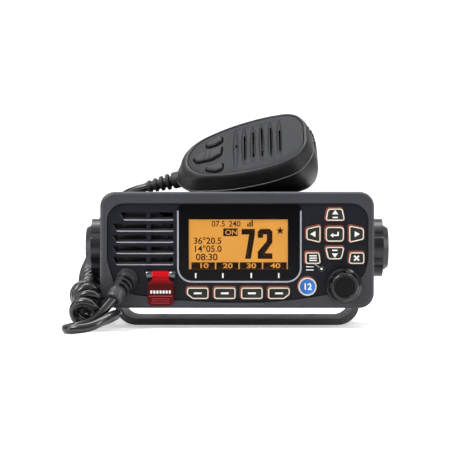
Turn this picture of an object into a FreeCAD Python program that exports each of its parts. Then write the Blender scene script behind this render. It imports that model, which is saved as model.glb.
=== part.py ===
import FreeCAD, Part
import math
import os

# Fixed-mount marine VHF radio on a U bracket, with a fist microphone on a curly cord.
# Millimetres, +Z up, front faces -Y. The origin is the middle of the bracket's underside.

V = FreeCAD.Vector

# ---------------------------------------------------------------- driving dimensions
BEZEL_W = 156.5              # front case, across
BEZEL_H = 66.5               # front case, tall
BODY_DEPTH = 110.0           # front face to the tips of the rear fins
FRONT_Y = -53.0              # front face of the front case
CASE_DEPTH = 23.0            # depth of the front case
BODY_MID_Z = 45.0            # middle height of the front case above the mounting surface
CASE_CORNER_R = 8.5
CASE_WALL = 2.5
FRAME_T = 3.0                # front frame round the fascia
FRAME_LEFT, FRAME_RIGHT = 4.0, 3.4
FRAME_TOP, FRAME_BASE = 6.6, 3.2
FASCIA_SINK = 1.2            # fascia lies behind the frame's front
FASCIA_T = 1.8
FASCIA_CORNER_R = 10.0
FIT = 0.2                    # clearance of parts that drop into a seat

CHASSIS_INSET = 11.75        # side of the chassis, inside the side of the front case
CHASSIS_LIFT = 3.75          # underside of the chassis, above that of the front case
CHASSIS_DROP = 0.75          # top of the chassis, below that of the front case
SHOULDER_W = 20.5            # sloping shoulders of the chassis
SHOULDER_H = 10.0
CHASSIS_WALL = 2.6
FLANGE_T = 3.0
FIN_DEPTH = 9.0
FIN_T = 2.0
FIN_COUNT = 15

WASHER_T = 1.65
WASHER_CLEAR = 0.05

BRACKET_DEPTH = 44.0
BRACKET_T = 3.8
BRACKET_BEND_R = 13.0
BRACKET_TOP_R = 16.5         # round top of each arm
PIVOT_HOLE_R = 3.2
SCREW_HOLE_R = 2.6
SCREW_SPACING_X = 90.0
SCREW_ROW_Y = 14.0

KNOB_R = 17.5                # side knobs
KNOB_REACH = 18.0            # face of a side knob, out from the bracket
KNOB_LOBES = 6
KNOB_FLUTE_R = 4.5
KNOB_GAP = 0.35
STUD_R = 2.5
STUD_CLEAR = 0.06

KEY_PROUD = 1.5
KEY_GAP = 0.3                # round each key in its opening
KEY_FLANGE = 0.8
KEY_TRAVEL = 0.8
KEY_LEAD = 0.1               # key flange to fascia
MAT_T = 1.0
BOARD_T = 1.6

# edges of the front case, from which the controls are laid out
LEFT_X = -BEZEL_W / 2
RIGHT_X = BEZEL_W / 2
CASE_Z0 = BODY_MID_Z - BEZEL_H / 2
CASE_Z1 = BODY_MID_Z + BEZEL_H / 2

GRILLE_PITCH = 6.39
GRILLE_SLOT_H = 4.2
GRILLE_TOP_Z = CASE_Z1 - 11.85
GRILLE_SLOTS = 5
GRILLE_X0 = LEFT_X + 7.25
GRILLE_X1 = LEFT_X + 41.75
GRILLE_RIB_X = (LEFT_X + 26.45, LEFT_X + 28.85)
GRILLE_SLANT = 2.4           # slope of the left end of each slot
GRILLE_TOP_INSET = 4.2       # the top slot starts further in

WINDOW = (LEFT_X + 44.95, RIGHT_X - 42.35, CASE_Z0 + 15.55, CASE_Z1 - 7.35)       # x0, x1, z0, z1
WINDOW_CORNER_R = 7.5
WINDOW_T = 1.2
WINDOW_PROUD = 0.4
TRIM_W = 0.9
LCD = (WINDOW[0] + 5.5, WINDOW[1] - 6.6, WINDOW[2] + 6.4, WINDOW[3] - 8.2)
LCD_MARGIN = 1.0
LCD_T = 2.1

SOFTKEY_W, SOFTKEY_H = 12.5, 6.7
SOFTKEY_Z = CASE_Z0 + 8.55
SOFTKEY_END = 5.4            # middle of the outer soft keys, from the ends of the picture
CLUSTER_X = RIGHT_X - 22.55  # middle of the enter key
CLUSTER_Z = CASE_Z1 - 24.75
CHANNEL_X, CHANNEL_Z, CHANNEL_R = RIGHT_X - 38.05, CASE_Z0 + 12.35, 5.2

VOLUME_X, VOLUME_Z = RIGHT_X - 17.65, CASE_Z0 + 12.85
VOLUME_R = 10.4
VOLUME_LEN = 13.0
VOLUME_REAR_GAP = 1.4        # knob to front frame, more than its push travel
BUSH_R = 4.3
PLUNGER_R = 3.4
SHAFT_R = 2.0
RUN = 0.05                   # radial running clearance

COVER_X0, COVER_X1 = LEFT_X + 27.35, LEFT_X + 42.15
COVER_Z0 = CASE_Z0 + 1.55
COVER_NECK_W = 9.6
COVER_AXIS_Z = CASE_Z0 + 19.35
COVER_T = 1.6
COVER_NECK_Z = CASE_Z0 + 14.65
PIN_R = 1.15
EAR_W = 3.4

GLAND_X, GLAND_Z = LEFT_X + 15.55, CASE_Z0 + 16.65
GLAND_R = 6.3
BOOT_REACH = V(-7.2, -15.2, -11.2)       # end of the cord's boot, from the gland
CORD_R = 2.6                 # plain cord
CURL_R = 8.8                 # outside of the curled cord

SPEAKER_X, SPEAKER_Z = LEFT_X + 24.25, BODY_MID_Z + 5.0
SPEAKER_R = 18.5

# microphone, in its own axes: u to the top end, v to the talk-bar side, n out of the face
MIC_CENTRE = V(5.4, 1.84, 105.45)
MIC_LEAN = 34.0              # degrees, rise of the far side
MIC_RISE = 15.7              # degrees, rise of the top end
MIC_WALL = 2.2
MIC_SEAM_N = -9.0
MIC_BELT_N = -15.4
MIC_BELT_SLOPE = -0.05
MIC_SHOULDER_N = -2.4        # the front shell rounds over to its face above this
MIC_BACK_N = -22.8
MIC_BACK_SLOPE = -0.16       # the back deepens towards the top end
MIC_BUTTON_N = -30.0
MIC_BUTTON_R = 8.0
MIC_PANEL_SHRINK = 1.4
MIC_PANEL_T = 1.6
MIC_LEDGE = 0.7              # what the panel rests on
MIC_KEY_PROUD = 1.2
RELIEF_N = -11.5
RELIEF_U = -66.0
RELIEF_R = 4.9

# ---------------------------------------------------------------- derived levels
CASE_REAR_Y = FRONT_Y + CASE_DEPTH
FRAME_REAR_Y = FRONT_Y + FRAME_T
FASCIA_Y = FRONT_Y + FASCIA_SINK
FASCIA_REAR_Y = FRAME_REAR_Y + FASCIA_T
KEY_FLANGE_Y = FASCIA_REAR_Y + KEY_LEAD
MAT_Y = KEY_FLANGE_Y + KEY_FLANGE + KEY_TRAVEL + KEY_LEAD
BOARD_Y = MAT_Y + MAT_T
BODY_REAR_Y = FRONT_Y + BODY_DEPTH
PIVOT_Z = BODY_MID_Z
CHASSIS_HALF_W = BEZEL_W / 2 - CHASSIS_INSET
CHASSIS_TOP_HALF_W = CHASSIS_HALF_W - SHOULDER_W
CHASSIS_Z0 = CASE_Z0 + CHASSIS_LIFT
CHASSIS_Z1 = CASE_Z1 - CHASSIS_DROP
CHASSIS_SHOULDER_Z = CHASSIS_Z1 - SHOULDER_H
BRACKET_HALF_W = CHASSIS_HALF_W + WASHER_T + WASHER_CLEAR + BRACKET_T
KNOB_FACE_X = BRACKET_HALF_W + KNOB_REACH
BOOT_END = V(GLAND_X, FASCIA_Y, GLAND_Z) + BOOT_REACH
WINDOW_FLOOR_Y = FASCIA_Y - WINDOW_PROUD + WINDOW_T
COVER_AXIS_Y = FASCIA_Y - 2.3


# ---------------------------------------------------------------- helpers
def box(x0, x1, y0, y1, z0, z1):
    return Part.makeBox(x1 - x0, y1 - y0, z1 - z0, V(x0, y0, z0))


def cyl(radius, start, end):
    axis = end - start
    return Part.makeCylinder(radius, axis.Length, start, axis)


def cone(r0, r1, start, end):
    axis = end - start
    return Part.makeCone(r0, r1, axis.Length, start, axis)


def inset(points, distance):
    """Corners of a convex outline, moved inwards; a negative distance grows it."""
    count = len(points)
    area = sum(points[i][0] * points[(i + 1) % count][1] - points[(i + 1) % count][0] * points[i][1]
               for i in range(count))
    side = 1.0 if area > 0 else -1.0
    moved = []
    for i in range(count):
        a, b, c = points[i - 1], points[i], points[(i + 1) % count]
        d0 = (b[0] - a[0], b[1] - a[1])
        d1 = (c[0] - b[0], c[1] - b[1])
        l0, l1 = math.hypot(*d0), math.hypot(*d1)
        n0 = (-d0[1] / l0 * side, d0[0] / l0 * side)
        n1 = (-d1[1] / l1 * side, d1[0] / l1 * side)
        scale = distance / (1 + n0[0] * n1[0] + n0[1] * n1[1])
        moved.append((b[0] + (n0[0] + n1[0]) * scale, b[1] + (n0[1] + n1[1]) * scale))
    return moved


def outline(points, radius, place):
    """Closed wire through the corners, each one rounded; radius is one value or one per corner."""
    count = len(points)
    radii = list(radius) if isinstance(radius, (list, tuple)) else [radius] * count
    edges = []
    corners = []
    for i in range(count):
        a, b, c = [V(points[j % count][0], points[j % count][1], 0) for j in (i - 1, i, i + 1)]
        u, w = (a - b).normalize(), (c - b).normalize()
        half = u.getAngle(w) / 2
        cut = radii[i] / math.tan(half)
        start, end = b + u * cut, b + w * cut
        bisector = (u + w).normalize()
        middle = b + bisector * (radii[i] / math.sin(half) - radii[i])
        corners.append((start, middle, end))
    for i in range(count):
        start, middle, end = corners[i]
        if radii[i] > 0:
            edges.append(Part.Arc(place(start), place(middle), place(end)).toShape())
        following = corners[(i + 1) % count][0]
        if (following - end).Length > 1e-6:
            edges.append(Part.LineSegment(place(end), place(following)).toShape())
    return Part.Wire(edges)


def front_plate(points, radius, y0, y1):
    """Plate whose outline lies in the front plane, from y0 back to y1."""
    wire = outline(points, radius, lambda p: V(p.x, y0, p.y))
    return Part.Face(wire).extrude(V(0, y1 - y0, 0))


def rect(x0, x1, z0, z1):
    return [(x0, z0), (x1, z0), (x1, z1), (x0, z1)]


def solid_loft(lower, upper):
    return Part.makeLoft([lower, upper], True, True)


def fused(shapes):
    result = shapes[0].multiFuse(shapes[1:]) if len(shapes) > 1 else shapes[0]
    return result.removeSplitter()


def tube_path(points):
    """Straight runs joined by tangent arcs, each as large as its two runs allow."""
    edges = []
    radii = []
    previous = points[0]
    for i in range(1, len(points) - 1):
        a, b, c = points[i - 1], points[i], points[i + 1]
        u, w = (a - b), (c - b)
        run = min(u.Length, w.Length)
        u.normalize()
        w.normalize()
        half_inside = u.getAngle(w) / 2
        half_turn = math.pi / 2 - half_inside
        radius = 0.45 * run / math.tan(half_turn)
        cut = 0.45 * run
        start, end = b + u * cut, b + w * cut
        middle = b + (u + w).normalize() * (radius / math.sin(half_inside) - radius)
        edges.append(Part.LineSegment(previous, start).toShape())
        edges.append(Part.Arc(start, middle, end).toShape())
        previous = end
        radii.append(round(radius, 1))
    edges.append(Part.LineSegment(previous, points[-1]).toShape())
    return Part.Wire(edges), radii


def cord_solid(name, points, radius):
    path, radii = tube_path(points)
    direction = (points[1] - points[0]).normalize()
    circle = Part.Wire(Part.makeCircle(radius, points[0], direction))
    solid = path.makePipeShell([circle], True, True, 1)
    solid = Part.makeSolid(solid) if solid.ShapeType == "Shell" else solid
    expected = math.pi * radius ** 2 * path.Length
    print(name, "length", round(path.Length, 1), "bend radii", radii,
          "volume ratio", round(solid.Volume / expected, 4))
    return solid


PARTS = {}


def keep(name, *shapes):
    solids = [s for shape in shapes for s in shape.Solids]
    PARTS[name] = solids[0] if len(solids) == 1 else Part.makeCompound(solids)


# ---------------------------------------------------------------- bracket and side knobs
def make_bracket():
    half, depth, thick = BRACKET_HALF_W, BRACKET_DEPTH / 2, BRACKET_T
    arm_top = PIVOT_Z + BRACKET_TOP_R
    outer = [(-half, 0), (half, 0), (half, arm_top), (-half, arm_top)]
    inner = [(-half + thick, thick), (half - thick, thick),
             (half - thick, arm_top + 1), (-half + thick, arm_top + 1)]
    bend_in = BRACKET_BEND_R - thick
    strap = front_plate(outer, [BRACKET_BEND_R, BRACKET_BEND_R, 0, 0], -depth, depth)
    strap = strap.cut(front_plate(inner, [bend_in, bend_in, 0, 0], -depth - 1, depth + 1))
    # side view of the arms: full depth at the base, narrowing to a round top
    foot = BRACKET_BEND_R + 2
    top = BRACKET_TOP_R
    side = [(-depth, -1), (depth, -1), (depth, foot), (top, PIVOT_Z - 4), (top, arm_top),
            (-top, arm_top), (-top, PIVOT_Z - 4), (-depth, foot)]
    wire = outline(side, [0, 0, 12, 12, top - 0.01, top - 0.01, 12, 12],
                   lambda p: V(-half - 1, p.x, p.y))
    strap = strap.common(Part.Face(wire).extrude(V(2 * half + 2, 0, 0)))
    strap = strap.cut(cyl(PIVOT_HOLE_R, V(-half - 1, 0, PIVOT_Z), V(half + 1, 0, PIVOT_Z)))
    for x in (-SCREW_SPACING_X / 2, SCREW_SPACING_X / 2):
        strap = strap.cut(cyl(SCREW_HOLE_R, V(x, SCREW_ROW_Y, -1), V(x, SCREW_ROW_Y, thick + 1)))
    keep("mounting_bracket", strap)


def make_side_knob(name, stud_name, side):
    """side is -1 for left and 1 for right."""
    def at(x):
        return V(side * x, 0, PIVOT_Z)
    seat = BRACKET_HALF_W + KNOB_GAP
    hub_end = seat + 3.2
    rim_end = KNOB_FACE_X - 3.4
    grip = cyl(KNOB_R, at(hub_end), at(rim_end))
    for i in range(KNOB_LOBES):
        angle = 2 * math.pi * (i + 0.5) / KNOB_LOBES
        offset = V(0, math.cos(angle), math.sin(angle)) * (KNOB_R + KNOB_FLUTE_R * 0.55)
        grip = grip.cut(cyl(KNOB_FLUTE_R, at(hub_end - 1) + offset, at(rim_end + 1) + offset))
    crown = cone(KNOB_R * 0.80, KNOB_R * 0.68, at(rim_end), at(KNOB_FACE_X))
    hub = cyl(KNOB_R * 0.62, at(seat), at(hub_end))
    stud_end = KNOB_FACE_X - 6
    body = fused([grip, crown, hub])
    body = body.cut(cyl(STUD_R, at(seat - 1), at(stud_end)))
    keep(name, body)
    keep(stud_name, cyl(STUD_R, at(CHASSIS_HALF_W - CHASSIS_WALL - 1.5), at(stud_end)))


def make_washers():
    start = CHASSIS_HALF_W
    end = CHASSIS_HALF_W + WASHER_T
    rings = []
    for side in (-1, 1):
        ring = cyl(KNOB_R * 0.55, V(side * start, 0, PIVOT_Z), V(side * end, 0, PIVOT_Z))
        bore = cyl(PIVOT_HOLE_R, V(side * start, 0, PIVOT_Z), V(side * (end + 1), 0, PIVOT_Z))
        rings.append(ring.cut(bore))
    keep("pivot_washers", *rings)


# ---------------------------------------------------------------- front case and fascia
def case_corners(grow=0.0):
    half = BEZEL_W / 2 + grow
    return rect(-half, half, CASE_Z0 - grow, CASE_Z1 + grow)


def fascia_corners():
    """Fascia opening, counter-clockwise from the top left."""
    x0, x1 = -BEZEL_W / 2 + FRAME_LEFT, BEZEL_W / 2 - FRAME_RIGHT
    top, base = CASE_Z1 - FRAME_TOP, CASE_Z0 + FRAME_BASE
    return [(x0, top), (x0, base + 24), (x0 + 4.8, base + 8.4), (x0 + 14.2, base + 4.6),
            (x0 + 38.25, base + 1.4), (-8.0, base), (14.0, base), (x1 - 40.85, base + 1.7),
            (x1 - 22.85, base + 4.6), (x1 - 2.6, base + 14.8), (x1, base + 24), (x1, top)]


FASCIA_RADII = [FASCIA_CORNER_R, 14, 6, 30, 40, 40, 40, 40, 12, 8, 8, FASCIA_CORNER_R]
BOSS_R = 3.2
CASE_SCREW_R = 1.5
SCREW_X = BEZEL_W / 2 - 8.2
SCREW_Z = (CASE_Z0 + 8.2, CASE_Z1 - 8.2)


def make_front_case():
    shell = front_plate(case_corners(), CASE_CORNER_R, FRONT_Y, CASE_REAR_Y)
    shell = shell.makeFillet(2.4, [e for e in shell.Edges
                                   if abs(e.BoundBox.YMin - FRONT_Y) < 1e-6
                                   and abs(e.BoundBox.YMax - FRONT_Y) < 1e-6])
    cavity = front_plate(case_corners(-CASE_WALL), CASE_CORNER_R - CASE_WALL,
                         FRAME_REAR_Y, CASE_REAR_Y + 1)
    shell = shell.cut(cavity)
    opening = front_plate(fascia_corners(), FASCIA_RADII, FRONT_Y - 1, FRAME_REAR_Y + 1)
    shell = shell.cut(opening)
    bosses = []
    boss_y = FASCIA_REAR_Y + 0.4
    for sx in (-1, 1):
        for z in SCREW_Z:
            bosses.append(cyl(BOSS_R, V(sx * SCREW_X, boss_y, z), V(sx * SCREW_X, CASE_REAR_Y - FLANGE_T, z)))
            x0, x1 = sorted((sx * SCREW_X, sx * (BEZEL_W / 2 - CASE_WALL + 0.5)))
            bosses.append(box(x0, x1, boss_y, CASE_REAR_Y - FLANGE_T - 3, z - 1.2, z + 1.2))
    shell = fused([shell] + bosses)
    for sx in (-1, 1):
        for z in SCREW_Z:
            shell = shell.cut(cyl(CASE_SCREW_R, V(sx * SCREW_X, CASE_REAR_Y - 14, z),
                                  V(sx * SCREW_X, CASE_REAR_Y, z)))
    shell = shell.cut(cyl(BUSH_R + FIT, V(VOLUME_X, FRONT_Y - 1, VOLUME_Z),
                          V(VOLUME_X, FRAME_REAR_Y + 1, VOLUME_Z)))
    keep("front_case", shell)


# key outlines as corners (x, z), with their corner radius
def softkeys():
    """Four keys spread evenly under the picture, the outer two with one corner cut off."""
    first, last = LCD[0] + SOFTKEY_END, LCD[1] - SOFTKEY_END
    cut_x, cut_z = 3.4, 2.6
    keys = {}
    for i in range(4):
        x = first + (last - first) * i / 3
        x0, x1 = x - SOFTKEY_W / 2, x + SOFTKEY_W / 2
        z0, z1 = SOFTKEY_Z - SOFTKEY_H / 2, SOFTKEY_Z + SOFTKEY_H / 2
        corners = rect(x0, x1, z0, z1)
        radii = [1.6] * 4
        if i == 0:
            corners = [(x0 + cut_x, z0), (x1, z0), (x1, z1), (x0, z1), (x0, z0 + cut_z)]
            radii = [1.2, 1.6, 1.6, 1.6, 1.2]
        if i == 3:
            corners = [(x0, z0), (x1 - cut_x, z0), (x1, z0 + cut_z), (x1, z1), (x0, z1)]
            radii = [1.6, 1.2, 1.2, 1.6, 1.6]
        keys[f"softkey_{i + 1}"] = (corners, radii)
    return keys


def cluster_keys():
    """Keys round the enter key, laid out from its middle."""
    layout = {
        "key_up": ([(-5.5, 8.1), (5.9, 8.1), (4.5, 15.2), (-4.1, 15.2)], [1.4, 1.4, 2.0, 2.0]),
        "key_enter": (rect(-5.3, 5.3, -3.8, 4.8), 2.2),
        "key_left": ([(-16.3, -2.6), (-8.0, -4.5), (-8.0, 5.7), (-16.3, 3.8)], [1.8, 1.2, 1.2, 1.8]),
        "key_right": ([(8.1, -4.5), (16.7, -2.6), (16.7, 3.8), (8.1, 5.7)], [1.2, 1.8, 1.8, 1.2]),
        "key_down": ([(-3.9, -13.9), (4.0, -13.9), (5.7, -6.6), (-5.6, -6.6)], [2.0, 2.0, 1.4, 1.4]),
        "key_menu": ([(-16.8, -16.5), (-7.8, -16.5), (-8.7, -9.7), (-16.8, -9.7)], 1.5),
        "key_clear": ([(7.7, -16.5), (16.9, -16.5), (16.9, -9.7), (8.6, -9.7)], 1.5),
    }
    return {name: ([(CLUSTER_X + x, CLUSTER_Z + z) for x, z in corners], radii)
            for name, (corners, radii) in layout.items()}


def window_corners(grow=0.0):
    x0, x1, z0, z1 = WINDOW
    return rect(x0 - grow, x1 + grow, z0 - grow, z1)


def window_radii(grow=0.0):
    return [WINDOW_CORNER_R + grow, WINDOW_CORNER_R + grow, 2.0, 2.0]


def key_solid(corners, radii):
    cap = front_plate(corners, radii, FASCIA_Y - KEY_PROUD, KEY_FLANGE_Y)
    rim = inset(corners, -1.0)
    grown = [r + 1.0 for r in radii] if isinstance(radii, list) else radii + 1.0
    flange = front_plate(rim, grown, KEY_FLANGE_Y, KEY_FLANGE_Y + KEY_FLANGE)
    return fused([cap, flange])


def make_fascia_and_keys():
    edge = inset(fascia_corners(), FIT)
    fascia = front_plate(edge, FASCIA_RADII, FASCIA_Y, FRAME_REAR_Y + 0.5)
    rim = inset(case_corners(), CASE_WALL + FIT + 0.3)
    flange = front_plate(rim, CASE_CORNER_R - CASE_WALL - 0.3, FRAME_REAR_Y, FASCIA_REAR_Y)
    fascia = fused([fascia, flange])
    # loudspeaker grille: slots with a slanted left end, split by one rib
    rib0, rib1 = GRILLE_RIB_X
    for i in range(GRILLE_SLOTS):
        z1 = GRILLE_TOP_Z - i * GRILLE_PITCH
        z0 = z1 - GRILLE_SLOT_H
        left = GRILLE_X0 + (GRILLE_TOP_INSET if i == 0 else 0.0)
        for corners in ([(left + GRILLE_SLANT, z0), (rib0, z0), (rib0, z1), (left, z1)],
                        rect(rib1, GRILLE_X1, z0, z1)):
            fascia = fascia.cut(front_plate(corners, 0.5, FASCIA_Y - 1, FASCIA_REAR_Y + 1))
    # seat and opening of the display
    grow = TRIM_W
    seat = front_plate(window_corners(grow + 0.05), window_radii(grow + 0.05),
                       FASCIA_Y - 1, WINDOW_FLOOR_Y)
    x0, x1, z0, z1 = LCD
    m = LCD_MARGIN + FIT
    fascia = fascia.cut(seat).cut(box(x0 - m, x1 + m, FASCIA_Y - 1, FASCIA_REAR_Y + 1, z0 - m, z1 + m))
    # keys and their openings
    keys = dict(softkeys())
    keys.update(cluster_keys())
    for name, (corners, radii) in keys.items():
        hole = inset(corners, -KEY_GAP)
        fascia = fascia.cut(front_plate(hole, radii, FASCIA_Y - 1, FASCIA_REAR_Y + 1))
        keep(name, key_solid(corners, radii))
    centre = V(CHANNEL_X, 0, CHANNEL_Z)
    def level(y):
        return V(centre.x, y, centre.z)
    fascia = fascia.cut(cyl(CHANNEL_R + KEY_GAP, level(FASCIA_Y - 1), level(FASCIA_REAR_Y + 1)))
    keep("key_channel", fused([cyl(CHANNEL_R, level(FASCIA_Y - KEY_PROUD), level(KEY_FLANGE_Y)),
                               cyl(CHANNEL_R + 1, level(KEY_FLANGE_Y), level(KEY_FLANGE_Y + KEY_FLANGE))]))
    # hole of the encoder's bush
    fascia = fascia.cut(cyl(BUSH_R + FIT, V(VOLUME_X, FASCIA_Y - 1, VOLUME_Z),
                            V(VOLUME_X, FASCIA_REAR_Y + 1, VOLUME_Z)))
    # pocket of the distress button, with the pin's two ears
    fascia = fascia.cut(front_plate(rect(*button_span(0.25)), 1.0, FASCIA_Y - 1, FASCIA_REAR_Y + 1))
    mid = (COVER_X0 + COVER_X1) / 2
    ears = []
    for side in (-1, 1):
        x = mid + side * (COVER_NECK_W / 2 + 0.35 + EAR_W / 2)
        ears.append(box(x - EAR_W / 2, x + EAR_W / 2, COVER_AXIS_Y, FASCIA_Y + 0.5,
                        COVER_AXIS_Z - 2.3, COVER_AXIS_Z + 2.3))
        ears.append(cyl(2.3, V(x - EAR_W / 2, COVER_AXIS_Y, COVER_AXIS_Z),
                        V(x + EAR_W / 2, COVER_AXIS_Y, COVER_AXIS_Z)))
    fascia = fused([fascia] + ears)
    pin_half = COVER_NECK_W / 2 + 0.35 + EAR_W
    start = V(mid - pin_half, COVER_AXIS_Y, COVER_AXIS_Z)
    end = V(mid + pin_half, COVER_AXIS_Y, COVER_AXIS_Z)
    fascia = fascia.cut(cyl(PIN_R, start, end))
    keep("cover_pin", cyl(PIN_R, start, end))
    # cord gland hole
    fascia = fascia.cut(cyl(CORD_R + 1.2, V(GLAND_X, FASCIA_Y - 1, GLAND_Z),
                            V(GLAND_X, FASCIA_REAR_Y + 1, GLAND_Z)))
    keep("front_fascia", fascia)


def button_span(grow):
    """Opening of the distress button: x0, x1, z0, z1."""
    return (COVER_X0 + 3.0 - grow, COVER_X1 - 3.0 + grow, COVER_Z0 + 6.2 - grow, COVER_NECK_Z - 1.0 + grow)


def make_distress():
    mid = (COVER_X0 + COVER_X1) / 2
    front = COVER_AXIS_Y - 1.2
    # flat cover hanging from a barrel round the pin
    blade = [(COVER_X0, COVER_Z0), (COVER_X1, COVER_Z0), (COVER_X1, COVER_NECK_Z),
             (mid + COVER_NECK_W / 2, COVER_NECK_Z + 1.6), (mid + COVER_NECK_W / 2, COVER_AXIS_Z),
             (mid - COVER_NECK_W / 2, COVER_AXIS_Z), (mid - COVER_NECK_W / 2, COVER_NECK_Z + 1.6),
             (COVER_X0, COVER_NECK_Z)]
    radii = [2.4, 2.4, 1.0, 0.6, 0, 0, 0.6, 1.0]
    plate = front_plate(blade, radii, front, front + COVER_T)
    a = V(mid - COVER_NECK_W / 2, COVER_AXIS_Y, COVER_AXIS_Z)
    b = V(mid + COVER_NECK_W / 2, COVER_AXIS_Y, COVER_AXIS_Z)
    cover = fused([plate, cyl(2.1, a, b)]).cut(cyl(PIN_R + RUN, a - V(1, 0, 0), b + V(1, 0, 0)))
    keep("distress_cover", cover)
    x0, x1, z0, z1 = button_span(0.0)
    top = FASCIA_Y - 0.3
    cap = front_plate(rect(x0, x1, z0, z1), 0.8, top, KEY_FLANGE_Y)
    flange = front_plate(rect(x0 - 1, x1 + 1, z0 - 1, z1 + 1), 1.8,
                         KEY_FLANGE_Y, KEY_FLANGE_Y + KEY_FLANGE)
    keep("distress_button", fused([cap, flange]))


# ---------------------------------------------------------------- display
def make_display():
    x0, x1, z0, z1 = LCD
    front = FASCIA_Y - WINDOW_PROUD
    mask = front_plate(window_corners(), window_radii(), front, WINDOW_FLOOR_Y)
    aperture = box(x0, x1, front - 1, WINDOW_FLOOR_Y + 1, z0, z1)
    keep("window_mask", mask.cut(aperture))
    keep("display_window", box(x0, x1, front, front + 0.7, z0, z1))
    strip = front_plate(window_corners(TRIM_W), window_radii(TRIM_W), front - 0.2, WINDOW_FLOOR_Y)
    strip = strip.cut(front_plate(inset(window_corners(), 0), window_radii(), front - 1, WINDOW_FLOOR_Y + 1))
    top = box(WINDOW[0] - 3, WINDOW[1] + 3, front - 1, WINDOW_FLOOR_Y + 1, WINDOW[3] - 3.5, WINDOW[3] + 1)
    keep("window_trim", strip.cut(top))
    m = LCD_MARGIN
    keep("lcd_panel", box(x0 - m, x1 + m, WINDOW_FLOOR_Y, WINDOW_FLOOR_Y + LCD_T, z0 - m, z1 + m))
    keep("lcd_backlight", box(x0 - m, x1 + m, WINDOW_FLOOR_Y + LCD_T, BOARD_Y, z0 - m, z1 + m))


def make_boards():
    x0, x1, z0, z1 = LCD
    left = x0 - LCD_MARGIN - 2.0
    right = BEZEL_W / 2 - CASE_WALL - 0.6
    low, high = CASE_Z0 + CASE_WALL + 0.8, CASE_Z1 - CASE_WALL - 1.0
    wide = x1 + LCD_MARGIN + 1.2
    # rubber key mat under the soft keys and the right cluster, clear of the LCD
    row = box(left, wide + 1, MAT_Y, BOARD_Y, low + 0.5, z0 - LCD_MARGIN - 1.0)
    cluster = box(wide, right, MAT_Y, BOARD_Y, low + 9, high - 9)
    lower = box(wide, CHANNEL_X + 11.8, MAT_Y, BOARD_Y, low + 0.5, low + 10)
    upper = box(wide, CLUSTER_X + 8.3, MAT_Y, BOARD_Y, high - 10, high - 0.5)
    mat = fused([row, cluster, lower, upper])
    mat = mat.cut(cyl(9.2, V(VOLUME_X, MAT_Y - 1, VOLUME_Z), V(VOLUME_X, BOARD_Y + 1, VOLUME_Z)))
    keep("keypad_mat", mat)
    board = front_plate(rect(left, right, low, high), [1.0, 5.0, 5.0, 1.0], BOARD_Y, BOARD_Y + BOARD_T)
    for z in SCREW_Z:
        board = board.cut(box(SCREW_X - BOSS_R - 0.5, right + 1, BOARD_Y - 1, BOARD_Y + BOARD_T + 1,
                          z - BOSS_R - 0.5, z + BOSS_R + 0.5))
    keep("front_board", board)


def make_encoder():
    def at(y):
        return V(VOLUME_X, y, VOLUME_Z)
    knob_rear = FRONT_Y - VOLUME_REAR_GAP
    knob_front = knob_rear - VOLUME_LEN
    bush_front = FRONT_Y - 0.2
    case_half = 5.4
    block = box(VOLUME_X - case_half, VOLUME_X + case_half, FASCIA_REAR_Y + 0.1, BOARD_Y,
                VOLUME_Z - case_half, VOLUME_Z + case_half)
    body = fused([block, cyl(BUSH_R, at(bush_front), at(BOARD_Y - 1))])
    body = body.cut(cyl(PLUNGER_R + RUN, at(bush_front - 1), at(BOARD_Y - 0.8)))
    keep("encoder_body", body)
    plunger = cyl(PLUNGER_R, at(knob_rear + 0.3), at(BOARD_Y - 2.0))
    plunger = plunger.cut(cyl(SHAFT_R + RUN, at(knob_rear - 1), at(BOARD_Y)))
    keep("encoder_plunger", plunger)
    keep("volume_shaft", cyl(SHAFT_R, at(knob_front + 2.5), at(BOARD_Y - 2.2)))
    skirt = cyl(VOLUME_R, at(knob_rear), at(knob_rear - 5.2))
    waist = cone(VOLUME_R, VOLUME_R - 1.6, at(knob_rear - 5.2), at(knob_rear - 7.2))
    nose = cone(VOLUME_R - 1.6, VOLUME_R - 2.9, at(knob_rear - 7.2), at(knob_front))
    knob = fused([skirt, waist, nose])
    knob = knob.cut(cyl(VOLUME_R - 4.2, at(knob_front - 1), at(knob_front + 0.5)))
    for i in range(12):
        angle = 2 * math.pi * i / 12
        offset = V(math.cos(angle), 0, math.sin(angle)) * (VOLUME_R + 0.4)
        knob = knob.cut(cyl(1.3, at(knob_rear - 7.0) + offset, at(knob_front - 1) + offset * 0.86))
    knob = knob.cut(cyl(SHAFT_R, at(knob_rear + 1), at(knob_front + 2.5)))
    keep("volume_knob", knob)


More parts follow.
